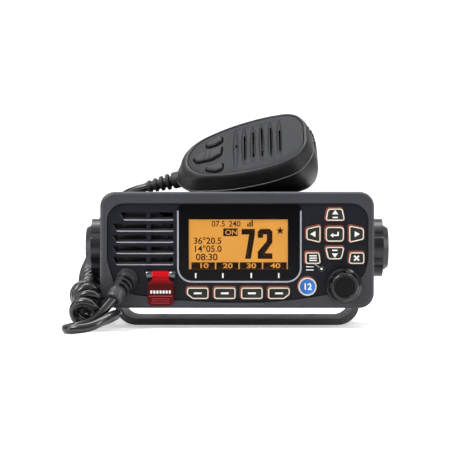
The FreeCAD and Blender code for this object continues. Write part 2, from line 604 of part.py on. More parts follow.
# ---------------------------------------------------------------- chassis and what it holds
def make_chassis():
    half, z0, z1 = CHASSIS_HALF_W, CHASSIS_Z0, CHASSIS_Z1
    fin_root = BODY_REAR_Y - FIN_DEPTH
    flange_front = CASE_REAR_Y - FLANGE_T
    section = [(-half, z0), (half, z0), (half, CHASSIS_SHOULDER_Z), (CHASSIS_TOP_HALF_W, z1),
               (-CHASSIS_TOP_HALF_W, z1), (-half, CHASSIS_SHOULDER_Z)]
    tub = front_plate(section, 5.0, CASE_REAR_Y, fin_root)
    hollow = front_plate(inset(section, CHASSIS_WALL), 3.0, flange_front - 1, fin_root - CHASSIS_WALL)
    rim = inset(case_corners(), CASE_WALL + 0.25)
    flange = front_plate(rim, CASE_CORNER_R - CASE_WALL - 0.3, flange_front, CASE_REAR_Y)
    fins = []
    span = 2 * half - 12
    pitch = span / (FIN_COUNT - 1)
    trimmed = front_plate(inset(section, 2.0), 4.0, fin_root - 0.5, BODY_REAR_Y)
    for i in range(FIN_COUNT):
        x = -span / 2 + i * pitch
        fin = box(x - FIN_T / 2, x + FIN_T / 2, fin_root - 0.5, BODY_REAR_Y, z0, z1)
        fins.append(fin.common(trimmed))
    pads = [box(ANTENNA_X - 11, ANTENNA_X + 11, fin_root - 0.5, fin_root + 3, ANTENNA_Z - 11, ANTENNA_Z + 11),
            box(POWER_X - 9, POWER_X + 9, fin_root - 0.5, fin_root + 3, POWER_Z - 9, POWER_Z + 9)]
    body = fused([tub, flange] + fins)
    for pad in pads:
        b = pad.BoundBox
        body = body.cut(box(b.XMin, b.XMax, fin_root, BODY_REAR_Y + 1, b.ZMin, b.ZMax))
    posts = [cyl(3.0, V(x, y, z0 + CHASSIS_WALL - 0.5), V(x, y, MAIN_BOARD_Z))
             for x in (-POST_X, POST_X) for y in POST_Y]
    body = fused([body] + pads).cut(hollow)
    body = fused([body] + posts)
    for side in (-1, 1):
        body = body.cut(cyl(STUD_R + STUD_CLEAR, V(side * (half - CHASSIS_WALL - 2), 0, PIVOT_Z),
                            V(side * (half + 1), 0, PIVOT_Z)))
    for sx in (-1, 1):
        for z in SCREW_Z:
            body = body.cut(cyl(CASE_SCREW_R, V(sx * SCREW_X, flange_front - 1, z),
                                V(sx * SCREW_X, CASE_REAR_Y + 1, z)))
    wall_y = fin_root - CHASSIS_WALL - 1
    for radius, x, z in ((ANTENNA_NECK_R, ANTENNA_X, ANTENNA_Z), (POWER_NECK_R, POWER_X, POWER_Z)):
        body = body.cut(cyl(radius + FIT, V(x, wall_y, z), V(x, BODY_REAR_Y, z)))
    keep("rear_chassis", body)
    gasket_out = inset(case_corners(), CASE_WALL + 0.3)
    gasket_in = inset(case_corners(), CASE_WALL + 2.0)
    gasket = front_plate(gasket_out, CASE_CORNER_R - CASE_WALL - 0.3, flange_front - 1.0, flange_front)
    gasket = gasket.cut(front_plate(gasket_in, CASE_CORNER_R - CASE_WALL - 2.0,
                                    flange_front - 2, flange_front + 1))
    keep("case_gasket", gasket)
    screws = []
    for sx in (-1, 1):
        for z in SCREW_Z:
            def at(y, x=sx * SCREW_X, height=z):
                return V(x, y, height)
            head = cyl(2.8, at(CASE_REAR_Y), at(CASE_REAR_Y + 2.2))
            socket = cyl(1.3, at(CASE_REAR_Y + 1.0), at(CASE_REAR_Y + 3))
            shank = cyl(CASE_SCREW_R, at(CASE_REAR_Y + 0.5), at(CASE_REAR_Y - 13.5))
            screws.append(fused([head, shank]).cut(socket))
    keep("chassis_screws", *screws)


ANTENNA_X, ANTENNA_Z = -CHASSIS_HALF_W + 26.5, BODY_MID_Z + 3.0
ANTENNA_R = 7.94
ANTENNA_BORE_R = 4.6
ANTENNA_NECK_R = 5.8         # through the chassis wall
ANTENNA_LEN = 16.0
POWER_X, POWER_Z = CHASSIS_HALF_W - 24.5, BODY_MID_Z - 5.0
POWER_NECK_R = 4.8
POWER_LEAD_R = 3.2           # room for the power lead
MAIN_BOARD_Z = CHASSIS_Z0 + 13.5
POST_X = CHASSIS_HALF_W - 14.5
POST_Y = (-16.0, 34.0)


def make_rear_fittings():
    seat = BODY_REAR_Y - FIN_DEPTH + 3.0
    def at(y):
        return V(ANTENNA_X, y, ANTENNA_Z)
    plate = box(ANTENNA_X - 9.5, ANTENNA_X + 9.5, seat, seat + 2, ANTENNA_Z - 9.5, ANTENNA_Z + 9.5)
    socket = fused([plate, cyl(ANTENNA_R, at(seat + 1), at(seat + 2 + ANTENNA_LEN)),
                    cyl(ANTENNA_NECK_R, at(seat - 4), at(seat + 1))])
    socket = socket.cut(cyl(ANTENNA_BORE_R, at(seat + 6), at(seat + 3 + ANTENNA_LEN)))
    centre = cyl(2.2, at(seat + 5.5), at(seat + ANTENNA_LEN))
    socket = fused([socket, centre.cut(cyl(1.2, at(seat + 8), at(seat + ANTENNA_LEN + 1)))])
    keep("antenna_socket", socket)
    def power(y):
        return V(POWER_X, y, POWER_Z)
    grommet = fused([cyl(7.0, power(seat), power(seat + 2.4)),
                     cyl(POWER_NECK_R, power(seat - 5), power(seat + 1)),
                     cone(5.6, 4.6, power(seat + 2.4), power(seat + 10))])
    keep("power_grommet", grommet.cut(cyl(POWER_LEAD_R, power(seat - 6), power(seat + 11))))


def make_main_board():
    half = CHASSIS_HALF_W - CHASSIS_WALL - 2.0
    rear = BODY_REAR_Y - FIN_DEPTH - CHASSIS_WALL - 2.0
    keep("main_board", box(-half, half, CASE_REAR_Y + 2.0, rear, MAIN_BOARD_Z, MAIN_BOARD_Z + BOARD_T))


def make_speaker():
    def ring(profile):
        wire = Part.makePolygon([V(SPEAKER_X + r, y, SPEAKER_Z) for r, y in profile + profile[:1]])
        return Part.Face(wire).revolve(V(SPEAKER_X, 0, SPEAKER_Z), V(0, 1, 0), 360)
    y = FASCIA_REAR_Y
    r = SPEAKER_R
    frame = ring([(r, y), (r, y + 1.6), (r - 3, y + 1.6), (11, y + 9), (11, y + 11), (6.2, y + 11),
                  (6.2, y + 9.8), (9.6, y + 9.8), (9.6, y + 8.4), (r - 4, y + 0.8), (r - 4, y)])
    keep("speaker_frame", frame)
    keep("speaker_cone", ring([(r - 4, y + 0.2), (r - 4, y + 0.7), (5.5, y + 6.6), (0, y + 6.6),
                               (0, y + 6.1), (5.6, y + 6.1)]))
    keep("speaker_magnet", cyl(9.2, V(SPEAKER_X, y + 11, SPEAKER_Z), V(SPEAKER_X, y + 17, SPEAKER_Z)))


# ---------------------------------------------------------------- cord gland and cords
LEAD_ROUTE = [
    BOOT_END, V(-74.3, -75.0, 10.4), V(-83.5, -79.3, 5.8), V(-92.2, -82.0, 3.2), V(-95.6, -90.0, 2.8),
    V(-90.0, -97.0, 2.8), V(-81.0, -95.2, 3.0), V(-73.6, -88.6, 5.2), V(-68.6, -80.6, 7.8),
    V(-66.6, -71.6, 8.8), V(-70.6, -64.4, 7.2), V(-77.6, -64.8, 4.6), V(-83.0, -69.0, 3.4),
]
# the two halves of the curl meet midway between these routes
CURL_LOWER_ROUTE = [
    V(-88.4, -71.5, 9.2), V(-86.6, -60.0, 11.4), V(-88.0, -47.0, 12.6), V(-88.0, -32.0, 12.8),
    V(-87.0, -18.0, 14.2), V(-87.0, -4.0, 16.8),
]
CURL_UPPER_ROUTE = [
    V(-87.8, 10.0, 19.6), V(-88.8, 23.0, 25.0), V(-89.0, 36.0, 28.6), V(-88.2, 48.5, 32.0),
    V(-85.4, 57.5, 39.5), V(-81.6, 57.5, 50.0), V(-78.8, 50.0, 59.0),
]
TAIL_ROUTE_END = [V(-76.6, 42.0, 66.4), V(-73.2, 29.0, 73.6), V(-65.74, 19.64, 78.99)]


def make_gland():
    base_y = FASCIA_Y
    start = V(GLAND_X, base_y - 2.0, GLAND_Z)
    axis = (BOOT_END - start)
    length = axis.Length
    axis.normalize()
    neck = cyl(CORD_R + 1.0, V(GLAND_X, base_y - 1, GLAND_Z), V(GLAND_X, FASCIA_REAR_Y + 1.5, GLAND_Z))
    disc = cyl(GLAND_R, V(GLAND_X, base_y, GLAND_Z), V(GLAND_X, base_y - 2.6, GLAND_Z))
    boot = cone(GLAND_R - 0.9, CORD_R + 1.1, start - axis * 0.5, BOOT_END)
    room = box(GLAND_X - 20, GLAND_X + 20, BOOT_END.y - 9, base_y - 0.01, 0, GLAND_Z + 20)
    body = fused([disc, boot.common(room), neck])
    for share in (0.30, 0.52, 0.74):
        middle = start + axis * (length * share)
        outer = cyl(GLAND_R + 2, middle - axis * 0.9, middle + axis * 0.9)
        core = cyl(GLAND_R - 2.2 - 1.6 * share, middle - axis * 1.2, middle + axis * 1.2)
        body = body.cut(outer.cut(core))
    keep("cord_gland", body)


def make_cords(relief_end):
    keep("cord_lead", cord_solid("cord_lead", LEAD_ROUTE, CORD_R))
    joint = (CURL_LOWER_ROUTE[-1] + CURL_UPPER_ROUTE[0]) * 0.5
    keep("cord_curl_lower", cord_solid("cord_curl_lower", CURL_LOWER_ROUTE + [joint], CURL_R))
    keep("cord_curl_upper", cord_solid("cord_curl_upper", [joint] + CURL_UPPER_ROUTE, CURL_R))
    tail = [CURL_UPPER_ROUTE[-1]] + TAIL_ROUTE_END + [relief_end]
    keep("cord_tail", cord_solid("cord_tail", tail, CORD_R))


# ---------------------------------------------------------------- microphone
# half outlines (u, v) from the cord end to the top end
MIC_FACE = [(-37.6, 6.5), (-30.0, 19.2), (-10.0, 26.8), (12.0, 28.4), (30.2, 25.8), (36.8, 12.0)]
MIC_SHOULDER = [(-41.5, 7.2), (-35.0, 18.6), (-11.5, 28.2), (12.0, 30.0), (30.2, 26.6), (38.6, 12.0)]
MIC_SEAM = [(-46.0, 8.0), (-38.0, 19.5), (-12.0, 29.0), (12.0, 30.6), (30.3, 27.0), (39.2, 12.0)]
MIC_BELT = [(-43.0, 7.0), (-35.0, 14.8), (-11.0, 23.4), (12.0, 26.5), (31.0, 26.0), (39.6, 12.5)]
MIC_BACK = [(-30.0, 4.5), (-24.0, 9.5), (-8.0, 14.0), (12.0, 18.8), (29.5, 21.3), (36.0, 9.0)]
MIC_RADII = [22.0, 22.0, 80.0, 70.0, 15.0, 26.0]         # face to seam
MIC_BACK_RADII = [9.0, 14.0, 40.0, 40.0, 12.0, 12.0]     # belt and back
MIC_BAR_U = (-6.0, 28.0)
MIC_BAR_N = (-15.0, -4.5)
MIC_BAR_V = 24.4             # inner face of the talk bar
MIC_BAR_SECTION = [(24.4, -15.0), (29.4, -15.0), (31.2, -9.2), (28.0, -4.5), (24.4, -4.5)]
MIC_KEYS = {
    "mic_key_upper": [(-24.8, 8.6), (-19.0, 8.6), (-14.7, 11.6), (-15.2, 19.6), (-24.8, 13.2)],
    "mic_key_lower": [(-24.8, -12.8), (-24.4, -17.2), (-18.4, -20.5), (-14.4, -19.8), (-14.4, -11.4)],
}
MIC_ROCKER = [(-32.9, -0.6), (-30.6, -6.0), (-21.0, -6.2), (-15.6, -3.0), (-14.7, 7.0), (-28.6, 4.9)]
MIC_GROOVE_HALF_V = 21.5
# sound slots in the grooves of the face: place u, then the two ends v
MIC_SLITS = [(-6.4, 3.0, 6.4), (-1.15, -12.6, 13.6), (4.25, -12.1, 15.4),
             (9.65, -13.0, 17.5), (15.15, -14.6, 15.6), (20.7, -12.4, 11.1)]
# grip ribs round the top end: place v, inner and outer end u
MIC_RIBS = [(4.4, 37.6, 40.2), (8.8, 37.4, 40.0), (13.2, 36.4, 39.5), (17.6, 35.2, 38.6), (22.0, 33.0, 37.2)]
MIC_RIB_W = 1.9


def mic_axes():
    lean, rise = math.radians(MIC_LEAN), math.radians(MIC_RISE)
    u = V(math.cos(rise), -math.sin(rise) * math.sin(lean), math.sin(rise) * math.cos(lean))
    v = V(0, math.cos(lean), math.sin(lean))
    return u, v, u.cross(v)


def mic_point(u, v, n):
    a, b, c = mic_axes()
    return MIC_CENTRE + a * u + b * v + c * n


def mic_placed(shape):
    a, b, c = mic_axes()
    m = FreeCAD.Matrix(a.x, b.x, c.x, MIC_CENTRE.x, a.y, b.y, c.y, MIC_CENTRE.y,
                       a.z, b.z, c.z, MIC_CENTRE.z, 0, 0, 0, 1)
    return shape.transformed(m)


def mic_wire(half, shrink, n, slope=0.0):
    corners = half + [(u, -v) for u, v in reversed(half)]
    radii = MIC_BACK_RADII if half in (MIC_BELT, MIC_BACK) else MIC_RADII
    radii = radii + radii[::-1]
    corners = inset(corners, shrink)
    radii = [max(r - shrink, 1.0) for r in radii]
    return outline(corners, radii, lambda p: V(p.x, p.y, n + slope * p.x))


def mic_plate(corners, radii, n0, n1):
    wire = outline(corners, radii, lambda p: V(p.x, p.y, n0))
    return Part.Face(wire).extrude(V(0, 0, n1 - n0))


def block(u0, u1, v0, v1, n0, n1):
    return Part.makeBox(u1 - u0, v1 - v0, n1 - n0, V(u0, v0, n0))


def make_mic_front(full, radii):
    """Front shell, open at the back, with the seat and window of its face panel."""
    shoulder = mic_wire(MIC_SHOULDER, 0, MIC_SHOULDER_N)
    front = fused([solid_loft(mic_wire(MIC_SEAM, 0, MIC_SEAM_N), shoulder),
                   solid_loft(shoulder, mic_wire(MIC_FACE, 0, 0.0))])
    front = front.cut(solid_loft(mic_wire(MIC_SEAM, MIC_WALL, MIC_SEAM_N - 0.001),
                                 mic_wire(MIC_FACE, MIC_WALL + 1.5, -3.4)))
    seat = mic_plate(inset(full, MIC_PANEL_SHRINK - 0.1), [r - MIC_PANEL_SHRINK for r in radii],
                     -MIC_PANEL_T, 1)
    window = mic_plate(inset(full, MIC_PANEL_SHRINK + MIC_LEDGE), [r - 3.0 for r in radii], -4.5, 0)
    return front.cut(seat).cut(window)


def make_mic_rear(board_n, button_u):
    """Rear shell with its posts and ribs."""
    wall, back_n, slope = MIC_WALL, MIC_BACK_N, MIC_BACK_SLOPE
    belt = mic_wire(MIC_BELT, 0, MIC_BELT_N, MIC_BELT_SLOPE)
    rear = fused([solid_loft(belt, mic_wire(MIC_SEAM, 0, MIC_SEAM_N)),
                  solid_loft(mic_wire(MIC_BACK, 0, back_n, slope), belt)])
    inner_belt = mic_wire(MIC_BELT, wall, MIC_BELT_N + 1.0, MIC_BELT_SLOPE)
    rear = rear.cut(fused([
        solid_loft(inner_belt, mic_wire(MIC_SEAM, wall, MIC_SEAM_N + 0.001)),
        solid_loft(mic_wire(MIC_BACK, wall, back_n + wall, slope), inner_belt)]))
    posts = [cyl(2.2, V(u, v, back_n + slope * u + 1.0), V(u, v, board_n - 0.02))
             for u in (-20.0, 22.0) for v in (-9.0, 9.0)]
    ribs = [block(u0, u1, v - MIC_RIB_W / 2, v + MIC_RIB_W / 2, MIC_BELT_N + 1, MIC_SEAM_N - 0.2)
            for v, u0, u1 in MIC_RIBS]
    rear = fused([rear] + posts + ribs)
    floor_n = back_n + slope * button_u
    return rear.cut(cyl(4.2, V(button_u, 0, floor_n - 3), V(button_u, 0, floor_n + 1.2)))


def make_mic_relief():
    """Strain relief of the cord, with its ribs growing towards the shell."""
    relief = fused([cyl(RELIEF_R, V(-49.5, 0, RELIEF_N), V(-41.5, 0, RELIEF_N)),
                    cone(4.2, 3.2, V(-49.5, 0, RELIEF_N), V(RELIEF_U, 0, RELIEF_N))])
    for i in range(4):
        u = -53.2 - i * 3.6
        radius = RELIEF_R + 0.1 - 0.32 * i
        relief = fused([relief, cyl(radius, V(u, 0, RELIEF_N), V(u + 1.9, 0, RELIEF_N))])
    return relief


def make_mic_panel(full, radii, parts):
    """Face panel with its grooves and slots; its keys are added to the parts."""
    shrunk = [r - MIC_PANEL_SHRINK for r in radii]
    panel = mic_plate(inset(full, MIC_PANEL_SHRINK), shrunk, -MIC_PANEL_T, 0.1)
    for u, v0, v1 in MIC_SLITS:
        half = MIC_GROOVE_HALF_V
        panel = panel.cut(block(u - 0.5, u + 0.5, v0, v1, -MIC_PANEL_T - 1, 1))
        lens = [(u - 1.4, 0.0), (u, -half), (u + 1.4, 0.0), (u, half)]
        groove = Part.Face(outline(lens, [6, 0.2, 6, 0.2], lambda p: V(p.x, p.y, -0.5)))
        panel = panel.cut(groove.extrude(V(0, 0, 2)))
    under = -MIC_PANEL_T - 0.1
    keys = [(name, corners, under, 1.4) for name, corners in MIC_KEYS.items()]
    keys.append(("mic_rocker_key", MIC_ROCKER, under - 0.5, 1.6))
    for name, corners, low, radius in keys:
        cap = mic_plate(corners, radius, low, MIC_KEY_PROUD)
        foot = mic_plate(inset(corners, -0.6), radius + 0.6, low - 0.8, low)
        parts[name] = fused([cap, foot])
        panel = panel.cut(mic_plate(inset(corners, -KEY_GAP), radius, -MIC_PANEL_T - 1, 1))
    return panel


def make_mic():
    full = MIC_FACE + [(u, -v) for u, v in reversed(MIC_FACE)]
    radii = MIC_RADII + MIC_RADII[::-1]
    board_n = MIC_SEAM_N - 2.6
    button_u = 4.0
    parts = {}
    front, rear = make_mic_front(full, radii), make_mic_rear(board_n, button_u)
    # sockets of the strain relief and pocket of the talk bar
    sockets = [cyl(RELIEF_R, V(-49.5, 0, RELIEF_N), V(-41.5, 0, RELIEF_N)),
               cyl(RELIEF_R - 0.9, V(-44, 0, RELIEF_N), V(-36, 0, RELIEF_N))]
    u0, u1 = MIC_BAR_U
    n0, n1 = MIC_BAR_N
    sockets.append(block(u0 - 0.3, u1 + 0.3, MIC_BAR_V - 2.0, MIC_BAR_V + 12, n0 - 0.3, n1 + 0.3))
    for socket in sockets:
        front, rear = front.cut(socket), rear.cut(socket)
    bar_wire = outline(MIC_BAR_SECTION, [0, 1.5, 3.0, 1.5, 0], lambda p: V(u0, p.x, p.y))
    bar = Part.Face(bar_wire).extrude(V(u1 - u0, 0, 0))
    panel = make_mic_panel(full, radii, parts)
    board = block(-29.0, 27.0, -15.0, 15.0, board_n, board_n + 1.6)
    capsule = cyl(5.0, V(6.8, 0, board_n + 1.6), V(6.8, 0, -MIC_PANEL_T - 1.4))
    floor_n = MIC_BACK_N + MIC_BACK_SLOPE * button_u
    button = fused([cyl(4.2, V(button_u, 0, floor_n + 1.2), V(button_u, 0, MIC_BUTTON_N + 2.4)),
                    cyl(MIC_BUTTON_R, V(button_u, 0, MIC_BUTTON_N + 2.6), V(button_u, 0, MIC_BUTTON_N))])
    parts.update({"mic_front_shell": front, "mic_rear_shell": rear, "mic_face_panel": panel,
                  "mic_board": board, "mic_capsule": capsule, "mic_strain_relief": make_mic_relief(),
                  "mic_ptt_bar": bar, "mic_hanger_button": button})
    for name, shape in parts.items():
        keep(name, mic_placed(shape))
    return mic_point(RELIEF_U - 0.1, 0, RELIEF_N)


# ---------------------------------------------------------------- build and write
make_bracket()
make_side_knob("side_knob_left", "knob_stud_left", -1)
make_side_knob("side_knob_right", "knob_stud_right", 1)
make_washers()
make_front_case()
make_fascia_and_keys()
make_distress()
make_display()
make_boards()
make_encoder()
make_chassis()
make_rear_fittings()
make_main_board()
make_speaker()
make_gland()
make_cords(make_mic())

os.makedirs("parts", exist_ok=True)
for node, shape in PARTS.items():
    if not shape.isValid():
        print("invalid", node)
    shape.exportStep(f"parts/{node}.step")
print(len(PARTS), "nodes")
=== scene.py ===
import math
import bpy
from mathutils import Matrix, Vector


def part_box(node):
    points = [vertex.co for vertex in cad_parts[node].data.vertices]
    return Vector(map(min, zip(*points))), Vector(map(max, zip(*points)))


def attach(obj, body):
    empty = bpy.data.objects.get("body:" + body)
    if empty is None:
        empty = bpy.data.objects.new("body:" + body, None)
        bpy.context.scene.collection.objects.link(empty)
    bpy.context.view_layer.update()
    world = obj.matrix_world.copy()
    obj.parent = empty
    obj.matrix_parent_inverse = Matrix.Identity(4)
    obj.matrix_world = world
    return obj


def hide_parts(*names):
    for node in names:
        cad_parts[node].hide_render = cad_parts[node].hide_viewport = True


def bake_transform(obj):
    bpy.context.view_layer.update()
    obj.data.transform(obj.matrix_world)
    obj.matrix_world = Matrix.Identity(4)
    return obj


bl_info = {
    "name": "Marine radio dressing",
    "version": (1, 0, 0),
    "blender": (4, 5, 0),
    "location": "View3D > Sidebar > Radio",
    "description": "Finishes a marine radio with its microphone, curly cord, keys and display",
    "category": "Object",
}

import bmesh
import bpy
from bpy.props import FloatProperty, FloatVectorProperty, IntProperty, PointerProperty
from mathutils import Matrix, Vector

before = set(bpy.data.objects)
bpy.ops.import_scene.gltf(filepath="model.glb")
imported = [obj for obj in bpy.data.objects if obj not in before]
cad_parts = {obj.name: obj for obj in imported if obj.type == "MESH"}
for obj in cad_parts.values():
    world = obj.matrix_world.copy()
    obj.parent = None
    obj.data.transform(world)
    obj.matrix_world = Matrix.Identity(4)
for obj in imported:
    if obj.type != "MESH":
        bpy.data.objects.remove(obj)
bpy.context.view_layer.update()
MM = 0.001
FULL_TURN = 2 * math.pi
# distances in metres below which points count as one, lie in one plane, or lie foremost together
SAME_POINT, SAME_LEVEL, FOREMOST = 2e-6, 1e-6, 2e-5

# microphone axes: u to the top end, v to the talk bar's side, n out of the face
LEAN, RISE = math.radians(34.0), math.radians(15.7)
MIC_U = Vector((math.cos(RISE), -math.sin(RISE) * math.sin(LEAN), math.sin(RISE) * math.cos(LEAN)))
MIC_V = Vector((0.0, math.cos(LEAN), math.sin(LEAN)))
MIC_N = MIC_U.cross(MIC_V)
MIC_CENTRE = Vector((5.4, 1.84, 105.45))
MIC_TURN = Matrix((MIC_U, MIC_V, MIC_N)).transposed().to_4x4()
MIC_PLACE = Matrix.Scale(MM, 4) @ Matrix.Translation(MIC_CENTRE) @ MIC_TURN

# cord routes, in millimetres
LEAD_ROUTE = [(-69.9, -67.0, 17.2), (-75.8, -74.8, 9.8), (-83.6, -80.0, 4.6), (-91.8, -83.2, 2.8),
              (-95.2, -90.0, 2.8), (-90.0, -97.0, 2.8), (-81.0, -94.8, 3.6), (-74.4, -88.2, 6.6),
              (-69.6, -81.0, 9.6), (-66.4, -73.6, 10.2), (-69.0, -66.4, 8.0), (-75.6, -64.6, 5.0),
              (-82.0, -69.0, 3.2)]
CURL_ROUTE = [(-86.6, -75.6, 9.4), (-83.8, -69.4, 13.2), (-83.4, -62.4, 17.6), (-86.6, -53.0, 19.4),
              (-88.2, -43.0, 18.6), (-88.2, -32.0, 17.2), (-87.6, -18.0, 16.2), (-87.2, -4.0, 16.8),
              (-87.9, 10.0, 19.6), (-88.8, 23.0, 25.0), (-89.0, 36.0, 28.6), (-88.2, 48.5, 32.0),
              (-85.4, 57.5, 39.5), (-81.6, 57.5, 50.0), (-78.8, 50.0, 59.0)]
CURL_SPLIT = Vector((-87.4, 3.0, 18.2))
TAIL_ROUTE = [(-76.6, 42.0, 66.4), (-73.2, 29.0, 73.6), (-65.74, 19.64, 78.99)]
RELIEF_START = MIC_CENTRE + MIC_U * -41.5 + MIC_N * -11.5
RELIEF_END = MIC_CENTRE + MIC_U * -66.1 + MIC_N * -11.5
GLAND = Vector((-62.7, -51.8, 28.4))
BOOT_END = Vector(LEAD_ROUTE[0])


def colour(name, description, red, green, blue):
    """Colour property whose default is given as display values from 0 to 255."""
    values = [c / 255 for c in (red, green, blue)]
    linear = [c / 12.92 if c <= 0.04045 else ((c + 0.055) / 1.055) ** 2.4 for c in values]
    return FloatVectorProperty(name=name, description=description, subtype="COLOR", size=3, min=0, max=1,
                               default=linear)


def length(name, description, millimetres):
    return FloatProperty(name=name, description=description, subtype="DISTANCE", unit="LENGTH", min=0,
                         precision=5, default=millimetres * MM)


class RadioColours(bpy.types.PropertyGroup):
    case: colour("Case", "Front case and side knobs", 46, 47, 53)
    fascia: colour("Fascia", "Panel behind the keys", 17, 19, 27)
    chassis: colour("Chassis", "Rear chassis and bracket", 34, 34, 38)
    knob: colour("Knob", "Volume knob", 14, 14, 17)
    side_knob: colour("Side knob", "Knobs at the ends", 27, 27, 32)
    bracket: colour("Bracket", "Mounting bracket", 88, 88, 92)
    window: colour("Window", "Surround of the display", 5, 5, 9)
    # the window's raised edge is real; its pale colour is a painted highlight
    trim: colour("Trim", "Painted edge of the window", 170, 173, 180)
    screen: colour("Screen", "Lit display", 196, 134, 42)
    ink: colour("Ink", "Figures on the display", 40, 20, 8)
    key: colour("Key", "Centre of the keys", 33, 31, 26)
    key_ring: colour("Key ring", "Pale line round the keys", 214, 207, 190)
    key_glow: colour("Key glow", "Light that leaks round the keys", 118, 56, 36)
    channel_key: colour("Round key", "Blue round key", 34, 106, 184)
    mark: colour("Marks", "Printed marks", 232, 232, 228)
    cover: colour("Cover", "Red flip cover", 168, 10, 20)
    rubber: colour("Rubber", "Cord, gland and grommets", 24, 24, 28)
    mic_face: colour("Microphone face", "Face panel of the microphone", 43, 44, 49)
    mic_shell: colour("Microphone shell", "Front shell of the microphone", 27, 27, 29)
    mic_back: colour("Microphone back", "Rear shell of the microphone", 20, 20, 22)


class RadioSizes(bpy.types.PropertyGroup):
    cord: length("Cord", "Diameter of the plain cord", 5.2)
    curl: length("Curl", "Outer diameter of the curled cord", 17.6)
    pitch: length("Pitch", "Distance between neighbouring turns", 5.9)
    opening: FloatProperty(name="Opening", description="How far the first turns are pulled apart", min=0,
                           default=0.35)
    turn_points: IntProperty(name="Points per turn", description="Control points of one turn", min=12,
                             max=24, default=14)
    key_ring: length("Key ring", "Width of the pale line round a key", 0.72)
    key_recess: length("Key recess", "Depth of a key's centre below its ring", 0.15)
    mark_lift: length("Mark lift", "Height of the printed marks", 0.04)
    # the grille lip is a pale bar, a painted highlight on a slot's lower edge
    lip: length("Grille lip", "Radius of the bright lower lip of a grille slot", 0.34)


class RadioStage(bpy.types.PropertyGroup):
    floor: colour("Floor", "Floor and backdrop", 244, 244, 244)
    key_light: FloatProperty(name="Key light", description="Power of the large lamp", min=0, default=16.0)
    fill_light: FloatProperty(name="Fill light", description="Power of the side lamps", min=0, default=5.0)
    world: FloatProperty(name="World", description="Strength of the even light", min=0, default=0.8)


# ---------------------------------------------------------------- materials
def assign(node, **values):
    """Sets constant inputs of a node; underscores stand for the spaces in their names."""
    for key, value in values.items():
        node.inputs[key.replace("_", " ")].default_value = value


def add(owner, kind, **values):
    """New node of a material or a world, with its constant inputs and its settings."""
    node = owner.node_tree.nodes.new("ShaderNode" + kind)
    for key, value in values.items():
        if key.replace("_", " ") in node.inputs:
            assign(node, **{key: value})
        else:
            setattr(node, key, value)
    return node


def link(owner, source, target):
    owner.node_tree.links.new(source, target)


def add_ramp(owner, stops):
    """Colour ramp through stops of (position, colour)."""
    ramp = add(owner, "ValToRGB")
    elements = ramp.color_ramp.elements
    for element, (position, tone) in zip(list(elements), (stops[0], stops[-1])):
        element.position, element.color = position, tone
    for position, tone in stops[1:-1]:
        elements.new(position).color = tone
    return ramp


def shader_of(name, roughness, metallic=0.0):
    material = bpy.data.materials.new(name)
    material.use_nodes = True
    shader = material.node_tree.nodes["Principled BSDF"]
    assign(shader, Roughness=roughness, Metallic=metallic)
    return material, shader


def object_place(material):
    return add(material, "TexCoord").outputs["Object"]


def shade(value, factor):
    return [min(1.0, c * factor) for c in value] + [1.0]


def mottled(material, shader, base, amount, scale, place):
    """Soft cloudy change of the colour, and of the roughness with it."""
    cloud = add(material, "TexNoise", Scale=scale, Detail=3.0, Roughness=0.6)
    link(material, place, cloud.inputs["Vector"])
    ramp = add_ramp(material, ((0.3, shade(base, 1.0 - amount)), (0.7, shade(base, 1.0 + amount))))
    link(material, cloud.outputs["Fac"], ramp.inputs["Fac"])
    link(material, ramp.outputs["Color"], shader.inputs["Base Color"])
    level = shader.inputs["Roughness"].default_value
    spread = add(material, "MapRange", To_Min=max(0.02, level - 0.05), To_Max=min(1.0, level + 0.05))
    link(material, cloud.outputs["Fac"], spread.inputs["Value"])
    link(material, spread.outputs["Result"], shader.inputs["Roughness"])


def grained(material, shader, grain, depth, place, stretch=(1, 1, 1)):
    """Fine surface texture; grain is its size and depth its height, in millimetres."""
    mapping = add(material, "Mapping", Scale=stretch)
    link(material, place, mapping.inputs["Vector"])
    noise = add(material, "TexNoise", Scale=1.0 / (grain * MM), Detail=2.0, Roughness=0.5)
    link(material, mapping.outputs["Vector"], noise.inputs["Vector"])
    bump = add(material, "Bump", Strength=1.0, Distance=depth * MM)
    link(material, noise.outputs["Fac"], bump.inputs["Height"])
    link(material, bump.outputs["Normal"], shader.inputs["Normal"])


def surface(name, base, roughness, metallic=0.0, grain=0.4, depth=0.02, clouds=0.08, scale=60.0,
            stretch=(1, 1, 1), coat=0.0, gloss=0.5):
    material, shader = shader_of(name, roughness, metallic)
    assign(shader, Specular_IOR_Level=gloss, Coat_Weight=coat, Coat_Roughness=0.08)
    place = object_place(material)
    mottled(material, shader, base, clouds, scale, place)
    grained(material, shader, grain, depth, place, stretch)
    return material


def lit_screen(name, base, strength):
    """Lit display: an even glow with a faint grid of cells."""
    material, shader = shader_of(name, 0.35)
    cells = add(material, "TexChecker", Scale=2400.0, Color1=shade(base, 1.0), Color2=shade(base, 0.95))
    link(material, object_place(material), cells.inputs["Vector"])
    for socket in ("Base Color", "Emission Color"):
        link(material, cells.outputs["Color"], shader.inputs[socket])
    assign(shader, Emission_Strength=strength)
    return material


def glowing(name, base, strength):
    material = surface(name, base, 0.5, grain=0.3, depth=0.01)
    assign(material.node_tree.nodes["Principled BSDF"], Emission_Color=shade(base, 1.0),
           Emission_Strength=strength)
    return material


def clear(name, ior):
    """See-through plastic."""
    material, shader = shader_of(name, 0.0)
    mottled(material, shader, (1.0, 1.0, 1.0), 0.03, 90.0, object_place(material))
    assign(shader, Transmission_Weight=1.0, IOR=ior)
    return material


